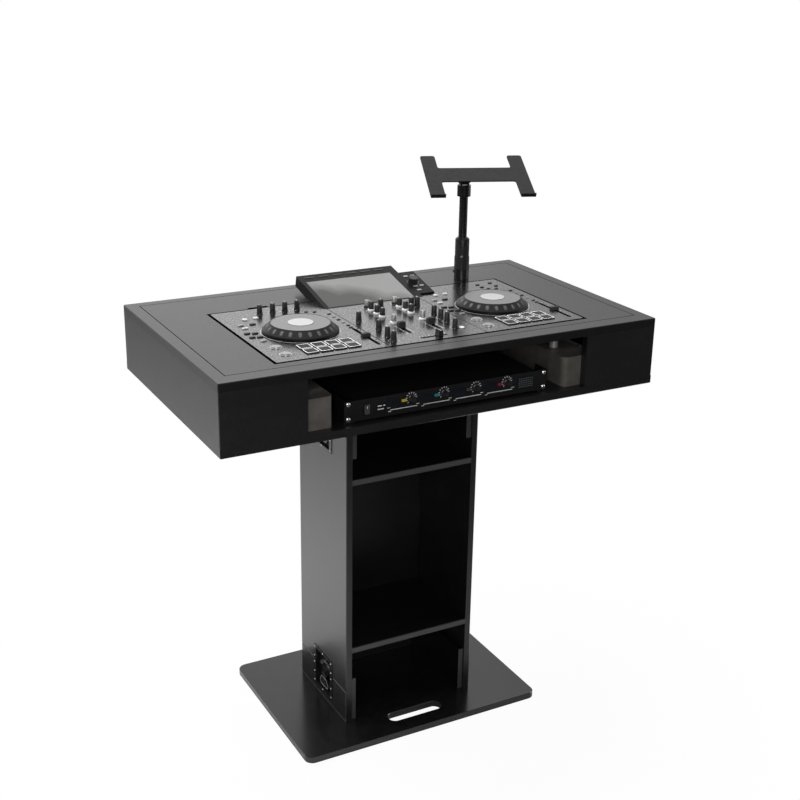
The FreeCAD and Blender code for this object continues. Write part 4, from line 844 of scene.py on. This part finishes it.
DECK_PRINT = 0.05
DIVIDER_X, DIVIDER_Y = 115, -77
DIVIDER_LIFT, DIVIDER_SIZE = 0.03, (1.6, 303, 0.1)
SURROUND_HEIGHT = 0.15
TEMPO_LENGTH = 122
TEMPO_SLOT = {"width": 7.6, "length": TEMPO_LENGTH + 4, "band": 1.8, "height": SURROUND_HEIGHT}
TEMPO_TICK, TEMPO_SHIFT = (3.0, 0.7, PRINT_THICK), 8.5
FADER_SLOT = {"width": 6.6, "length": 60, "band": 1.3, "height": SURROUND_HEIGHT}
FADER_Y, FADER_REACH = -136.5, 28
FADER_TICK, FADER_SHIFTS = (4.5, 0.7, PRINT_THICK), (-8, 8)
LONG_TICKS = 11
CROSS_SLOT = {"width": 63, "length": 6.6, "band": 1.3, "height": SURROUND_HEIGHT}
CROSS_Y, CROSS_REACH = middle("crossfader")[1], 30
CROSS_TICK, CROSS_SHIFT, CROSS_TICKS = (0.7, 4.5, PRINT_THICK), 8.5, 9
DECK_SCALE = {"radius": 10.6, "length": 2.2, "width": 0.7, "lift": DECK_PRINT}
# A pale ring round each wheel: a painted highlight on the edge of a groove
WHEEL_RING_HIGHLIGHT = {"outer": 84.4, "inner": 83.4, "height": 0.15, "columns": 72}


def tick_row(places, size):
    """Printed ticks at places on the plate."""
    return bars([(x, y, DECK_PRINT) for x, y in places], size)


def make_deck_print():
    """Divider grooves, slot surrounds, scales and tick rings, each a thin raised strip on the plate, and
    round each wheel a pale ring, a painted highlight on the edge of a groove.
    """
    dark = [on_deck(bars([(x, DIVIDER_Y, DIVIDER_LIFT) for x in (-DIVIDER_X, DIVIDER_X)], DIVIDER_SIZE))]
    pale = []
    tempo_steps = np.linspace(-TEMPO_LENGTH / 2, TEMPO_LENGTH / 2, LONG_TICKS)
    fader_steps = np.linspace(-FADER_REACH, FADER_REACH, LONG_TICKS)
    cross_steps = np.linspace(-CROSS_REACH, CROSS_REACH, CROSS_TICKS)
    for side in SIDES:
        x, y, _ = middle(f"tempo_slider_{side}")
        dark.append(on_deck(border(**TEMPO_SLOT), x, y))
        pale.append(on_deck(tick_row([(TEMPO_SHIFT, step) for step in tempo_steps], TEMPO_TICK), x, y))
    for side in SIDES:
        x = middle(f"channel_fader_{side}")[0]
        places = [(shift, step) for step in fader_steps for shift in FADER_SHIFTS]
        dark.append(on_deck(border(**FADER_SLOT), x, FADER_Y))
        pale.append(on_deck(tick_row(places, FADER_TICK), x, FADER_Y))
    dark.append(on_deck(border(**CROSS_SLOT), 0, CROSS_Y))
    pale.append(on_deck(tick_row([(step, CROSS_SHIFT) for step in cross_steps], CROSS_TICK), 0, CROSS_Y))
    knobs = [axis_of(name)[:2] for name in DECK_KNOBS] + list(PANEL_KNOBS)
    pale += [on_deck(ticks(**DECK_SCALE), x, y) for x, y in knobs]
    wheels = [on_deck(ring(**WHEEL_RING_HIGHLIGHT), *middle(f"jog_wheel_{side}")[:2]) for side in SIDES]
    piece("deck_grooves", dark, ["print_black"], "booth")
    piece("deck_marks", pale, ["print_white"], "booth")
    piece("wheel_ring_highlights", wheels, ["button_pale"], "booth")


# Controller: buttons, pads, keys, faders and screen

# Places beside each wheel: X from its axis, and Y
BUTTONS = np.array([(-76.0, 68.0), (-50.0, 69.9), (-100.1, 31.1), (-73.2, 30.0), (-99.1, 7.2),
                    (-108.6, -27.9), (-93.0, -33.1), (-108.6, -57.0), (-93.0, -61.1), (-97.2, -89.1),
                    (108.1, 34.1), (108.1, 10.1), (108.1, -13.9), (108.1, -37.1), (108.1, -61.1),
                    (106.7, -77.0), (68.9, 69.9), (85.9, 62.1)])
ROUND_BUTTONS = range(0, 2)
LARGE_BUTTONS = range(2, 10)
WHITE_BUTTONS, GREY_BUTTONS = [0, 1, 4], [2, 9, 11, 13]
DARK_BUTTONS = np.delete(np.arange(len(BUTTONS)), WHITE_BUTTONS + GREY_BUTTONS)
REAR_BUTTONS = [(298.4, 109.4), (297.2, 86.5), (334.8, 112.0), (334.6, 83.5)]
BUTTON_COLUMNS = 28
ROUND_BUTTON = [(6, 0), (6, 1.9), (5.5, 2.5), (3, 2.5)]
LARGE_BUTTON = {"width": 13, "length": 7.5, "height": 2.5, "bevel": 0.6, "columns": BUTTON_COLUMNS}
SMALL_BUTTON = {"width": 8, "length": 5, "height": 1.6, "bevel": 0.5, "columns": BUTTON_COLUMNS}
REAR_BUTTON = {"width": 9, "length": 6, "height": 2.0, "bevel": 0.5, "columns": BUTTON_COLUMNS}
PALE_PLACE, PALE_COLUMNS = (83, -179), 36
PALE_RING = {"outer": 8.2, "inner": 6.4, "height": 0.6}
PALE_BUTTON = [(6.2, 0), (6.2, 1.6), (5.6, 2.2), (3.0, 2.5)]
PAD_STEP, PAD_SINK = 31.0, 0.05
PAD_EDGE = {"width": 27, "length": 27, "band": 1.7, "height": 0.2}
KEY_REACH = 24.5
KEY_RING = {"outer": 12.6, "inner": 10.5, "height": 0.9}
LINE_WIDTH, LINE_HEIGHT, LINE_INSET, LINE_SINK = 0.9, 0.5, 0.6, 1.0
SCREEN_KEY = {"width": 26, "length": 4.2, "height": 0.9, "bevel": 0.3, "columns": 24}
SCREEN_KEYS, SCREEN_KEY_RUN = (-92, -56, -20, 16, 52, 88), 150
SIDE_KEY = {"width": 11, "length": 6, "height": 1.0, "bevel": 0.4, "columns": 24}
SIDE_KEYS = ((137, 34), (137, 53), (153, 53), (137, 104), (155, 104))
BROWSE_PLACE = (140, 72.5)
BROWSE_RING = {"outer": 15.0, "inner": 12.2, "height": 0.5}


def button(number):
    """The shape of a button beside the wheel: round, large, or small."""
    if number in ROUND_BUTTONS:
        return turned(ROUND_BUTTON, BUTTON_COLUMNS)
    return cap(**(LARGE_BUTTON if number in LARGE_BUTTONS else SMALL_BUTTON))


def make_deck_buttons():
    """Small bevelled keys of both decks in three finishes, the ones at the rear and the pale round one."""
    wheels = [middle(f"jog_wheel_{side}")[0] for side in SIDES]
    for name, chosen, finish in (("dark_buttons", DARK_BUTTONS, "control_black"),
                                 ("grey_buttons", GREY_BUTTONS, "key_metal"),
                                 ("white_buttons", WHITE_BUTTONS, "button_pale")):
        shapes = [on_deck(button(number), wheel + BUTTONS[number, 0], BUTTONS[number, 1])
                  for wheel in wheels for number in chosen]
        piece(name, shapes, [finish], "booth", ["deck_buttons"])
    rear = [on_deck(cap(**REAR_BUTTON), x, y) for x, y in REAR_BUTTONS]
    piece("rear_buttons", rear, ["control_black"], "booth")
    shapes = (ring(**PALE_RING), turned(PALE_BUTTON, PALE_COLUMNS))
    pale = [on_deck(shape, *PALE_PLACE) for shape in shapes]
    piece("round_button", pale, ["control_black", "ring_white"], "booth")


def make_pads_and_keys():
    """Pale edges on the tops of the pads and bright rings round the play and cue keys."""
    rings = []
    for side in SIDES:
        pads = f"pads_{side}"
        x, y, _ = middle(pads)
        lift = top(pads) - DECK_TOP - PAD_SINK
        edges = [on_deck(border(**PAD_EDGE), x + column * PAD_STEP, y + row * PAD_STEP, lift)
                 for column in (-1.5, -0.5, 0.5, 1.5) for row in (-0.5, 0.5)]
        piece(f"pad_edges_{side}", edges, ["print_white"], pads)
        x, y, _ = middle(f"play_keys_{side}")
        rings += [on_deck(ring(**KEY_RING), x, y + reach) for reach in (-KEY_REACH, KEY_REACH)]
    piece("key_rings", rings, ["foot_silver"], "booth")


def make_fader_lines():
    """A pale line across the notch of each fader cap."""
    for name in FADERS:
        low, high = corners(name)
        across = 1 if name == "crossfader" else 0
        size = np.array([LINE_WIDTH, LINE_WIDTH, LINE_HEIGHT])
        size[across] = (high - low)[across] - LINE_INSET
        place = (*middle(name)[:2], high[2] - LINE_SINK)
        piece(f"{name}_line", [bars(place, size)], ["print_white"], name)


def make_screen_trim():
    """Slim keys along the top of the screen, keys and a ring on its side panel."""
    keys = [on_screen(cap(**SCREEN_KEY), x, SCREEN_KEY_RUN) for x in SCREEN_KEYS]
    side = [on_screen(cap(**SIDE_KEY), x, run) for x, run in SIDE_KEYS]
    browse = on_screen(ring(**BROWSE_RING), *BROWSE_PLACE)
    piece("screen_keys", keys, ["control_black"], "booth")
    piece("side_keys", side, ["key_metal"], "booth")
    piece("browse_ring", [browse], ["control_black"], "booth")


make_rivets()
make_latch_edges()
make_cheek_highlights()
make_rack_screws()
make_receiver_displays()
make_receiver_marks()
make_rocker_and_grille()
make_pole_screws()
make_knobs()
make_deck_print()
make_deck_buttons()
make_pads_and_keys()
make_fader_lines()
make_screen_trim()


# Stage: places are in metres

FLOOR_REACH = 40.0
FLOOR_TONE = 0.9
FLOOR_AHEAD = (0.35, -0.94, 0)
# Falls of the floor's tone, painted shade to the front and far off: from and to, over these distances
FLOOR_FRONT_FALL = (1.0, 0.12, 0.3, 1.3)
FLOOR_FAR_FALL = (1.0, 0.6, 0.8, 2.2)
FLOOR_GLOW_RISE = (0.96, 1.0, 0.5, 1.0)
# Backdrop: the axis of the direction that is looked in, then a tone from and to over a stretch of it
BACKDROP = {
    "behind": ("Y", 0.32, 1.0, -0.2, 0.5),
    "right": ("X", 1.1, 0.5, 0.45, 0.56),
    "rise": ("Z", 0.85, 1.0, 0.25, 0.31),
    "left": ("X", 1.0, 0.0, -0.25, -0.1),
    "high": ("Z", 0.0, 1.0, 0.44, 0.52),
}
CORNER_TONE = 0.15
ROOM_LIGHT = 0.3
OVERHEAD = dict(place=(-1.0, 0.9, 3.1), target=(-0.7, 0.7, 0.4), size=(3.2, 2.6))
LAMPS = {
    "overhead": dict(power=135, mirrored=False, **OVERHEAD),
    "overhead_sheen": dict(power=30, **OVERHEAD),
    "behind_right": dict(place=(2.5, 2.3, 3.0), target=(0.1, 0, 0.9), size=(1.6, 1.6), power=2),
    "right_fill": dict(place=(3.2, -0.8, 1.4), target=(0.3, 0, 0.7), size=(1.6, 1.6), power=35),
    "front_fill": dict(place=(-1.6, -3.6, 2.0), target=(0, 0, 0.7), size=(2.0, 2.0), power=50),
}
# A little off plumb, so that a lamp may also face straight down
LAMP_UP = (0, 0.001, 1)
CAMERA_PLACE = (-1.2692, -2.4024, 1.7346)
CAMERA_RIGHT = (0.88161, -0.47172, 0.01571)
CAMERA_DOWN = np.array([-0.14740, -0.30680, -0.94029])
CAMERA_AHEAD = np.array([0.44837, 0.82666, -0.34001])
CAMERA_LENS, CAMERA_SENSOR = 57.32, 36.0
CAMERA_SHIFT = -0.0035
CAMERA_REACH = 100.0


def make_floor():
    """A pale floor with painted shade, darker away to the front where no lamp reaches and far off; the camera
    sees it near white, and it keeps the object's shadow."""
    mesh = bpy.data.meshes.new("floor")
    square = [(-1, -1), (1, -1), (1, 1), (-1, 1)]
    mesh.from_pydata([(x * FLOOR_REACH, y * FLOOR_REACH, 0) for x, y in square], [], [(0, 1, 2, 3)])
    finish = bpy.data.materials.new("floor_white")
    wires = Wires(finish)
    place = wires.place()
    length = wires.measure("LENGTH", place)
    ahead = wires.measure("DOT_PRODUCT", place, FLOOR_AHEAD)
    falls = wires.spread(ahead, *FLOOR_FRONT_FALL), wires.spread(length, *FLOOR_FAR_FALL)
    tone = wires.mix(wires.product(*falls), shade(0.0), shade(FLOOR_TONE))
    wires.paint(Base_Color=tone, Roughness=1.0, Specular_IOR_Level=0.0)
    seen = wires.add("LightPath").outputs["Is Camera Ray"]
    share = wires.product(seen, wires.spread(length, *FLOOR_GLOW_RISE))
    glow = wires.add("Emission", {"Strength": 1.0}).outputs["Emission"]
    mix = wires.add("MixShader", {"Fac": share, 1: wires.shader.outputs["BSDF"], 2: glow})
    wires.feed(wires.nodes["Material Output"].inputs["Surface"], mix.outputs["Shader"])
    mesh.materials.append(finish)
    put("floor", mesh)


def make_world():
    """White to the camera; in mirrors and glass a white backdrop that falls off to the right and is dark high
    up on the left; a dim room to matt surfaces."""
    world = bpy.data.worlds.new("studio")
    wires = Wires(world)
    axes = wires.axes("Generated")
    path = wires.add("LightPath").outputs
    part = {name: wires.spread(axes[axis], *fall) for name, (axis, *fall) in BACKDROP.items()}
    corner = wires.spread(wires.product(part["left"], part["high"]), 1.0, CORNER_TONE, 0, 1)
    wall = wires.product(part["behind"], part["rise"], part["right"], corner)
    mirrored = wires.product(path["Is Glossy Ray"], wall)
    seen = wires.math("ADD", path["Is Camera Ray"], path["Is Transmission Ray"])
    room = wires.product(path["Is Diffuse Ray"], part["behind"], ROOM_LIGHT)
    backdrop = wires.nodes["Background"].inputs
    wires.feed(backdrop["Strength"], wires.math("ADD", wires.math("ADD", mirrored, seen), room))
    wires.feed(backdrop["Color"], shade(1.0))
    bpy.context.scene.world = world


def stand(thing, place, right, up, back):
    """Puts a lamp or camera at a place, with its X, Y and Z along three directions."""
    turn = Matrix(np.stack([right, up, back], 1).tolist()).to_4x4()
    thing.matrix_world = Matrix.Translation(place) @ turn


def soft_light(name, place, target, size, power, mirrored=True):
    """A rectangular lamp that faces a target; where it isn't mirrored, it lights matt surfaces only."""
    lamp = bpy.data.lights.new(name, "AREA")
    lamp.shape = "RECTANGLE"
    lamp.size, lamp.size_y = size
    lamp.energy = power
    thing = put(name, lamp)
    thing.visible_glossy = mirrored
    away = np.asarray(place, float) - np.asarray(target, float)
    back = away / np.linalg.norm(away)
    right = np.cross(LAMP_UP, back)
    right /= np.linalg.norm(right)
    stand(thing, place, right, np.cross(back, right), back)


def make_camera():
    """The photograph's viewpoint, worked out from the part's known corners."""
    camera = bpy.data.cameras.new("camera")
    camera.sensor_fit = "HORIZONTAL"
    camera.sensor_width = CAMERA_SENSOR
    camera.lens = CAMERA_LENS
    camera.shift_y = CAMERA_SHIFT
    camera.clip_end = CAMERA_REACH
    thing = put("camera", camera)
    stand(thing, CAMERA_PLACE, CAMERA_RIGHT, -CAMERA_DOWN, -CAMERA_AHEAD)
    bpy.context.scene.camera = thing


make_floor()
make_world()
make_camera()
for name, lamp in LAMPS.items():
    soft_light(name, **lamp)

bpy.context.scene.view_settings.view_transform = "Standard"
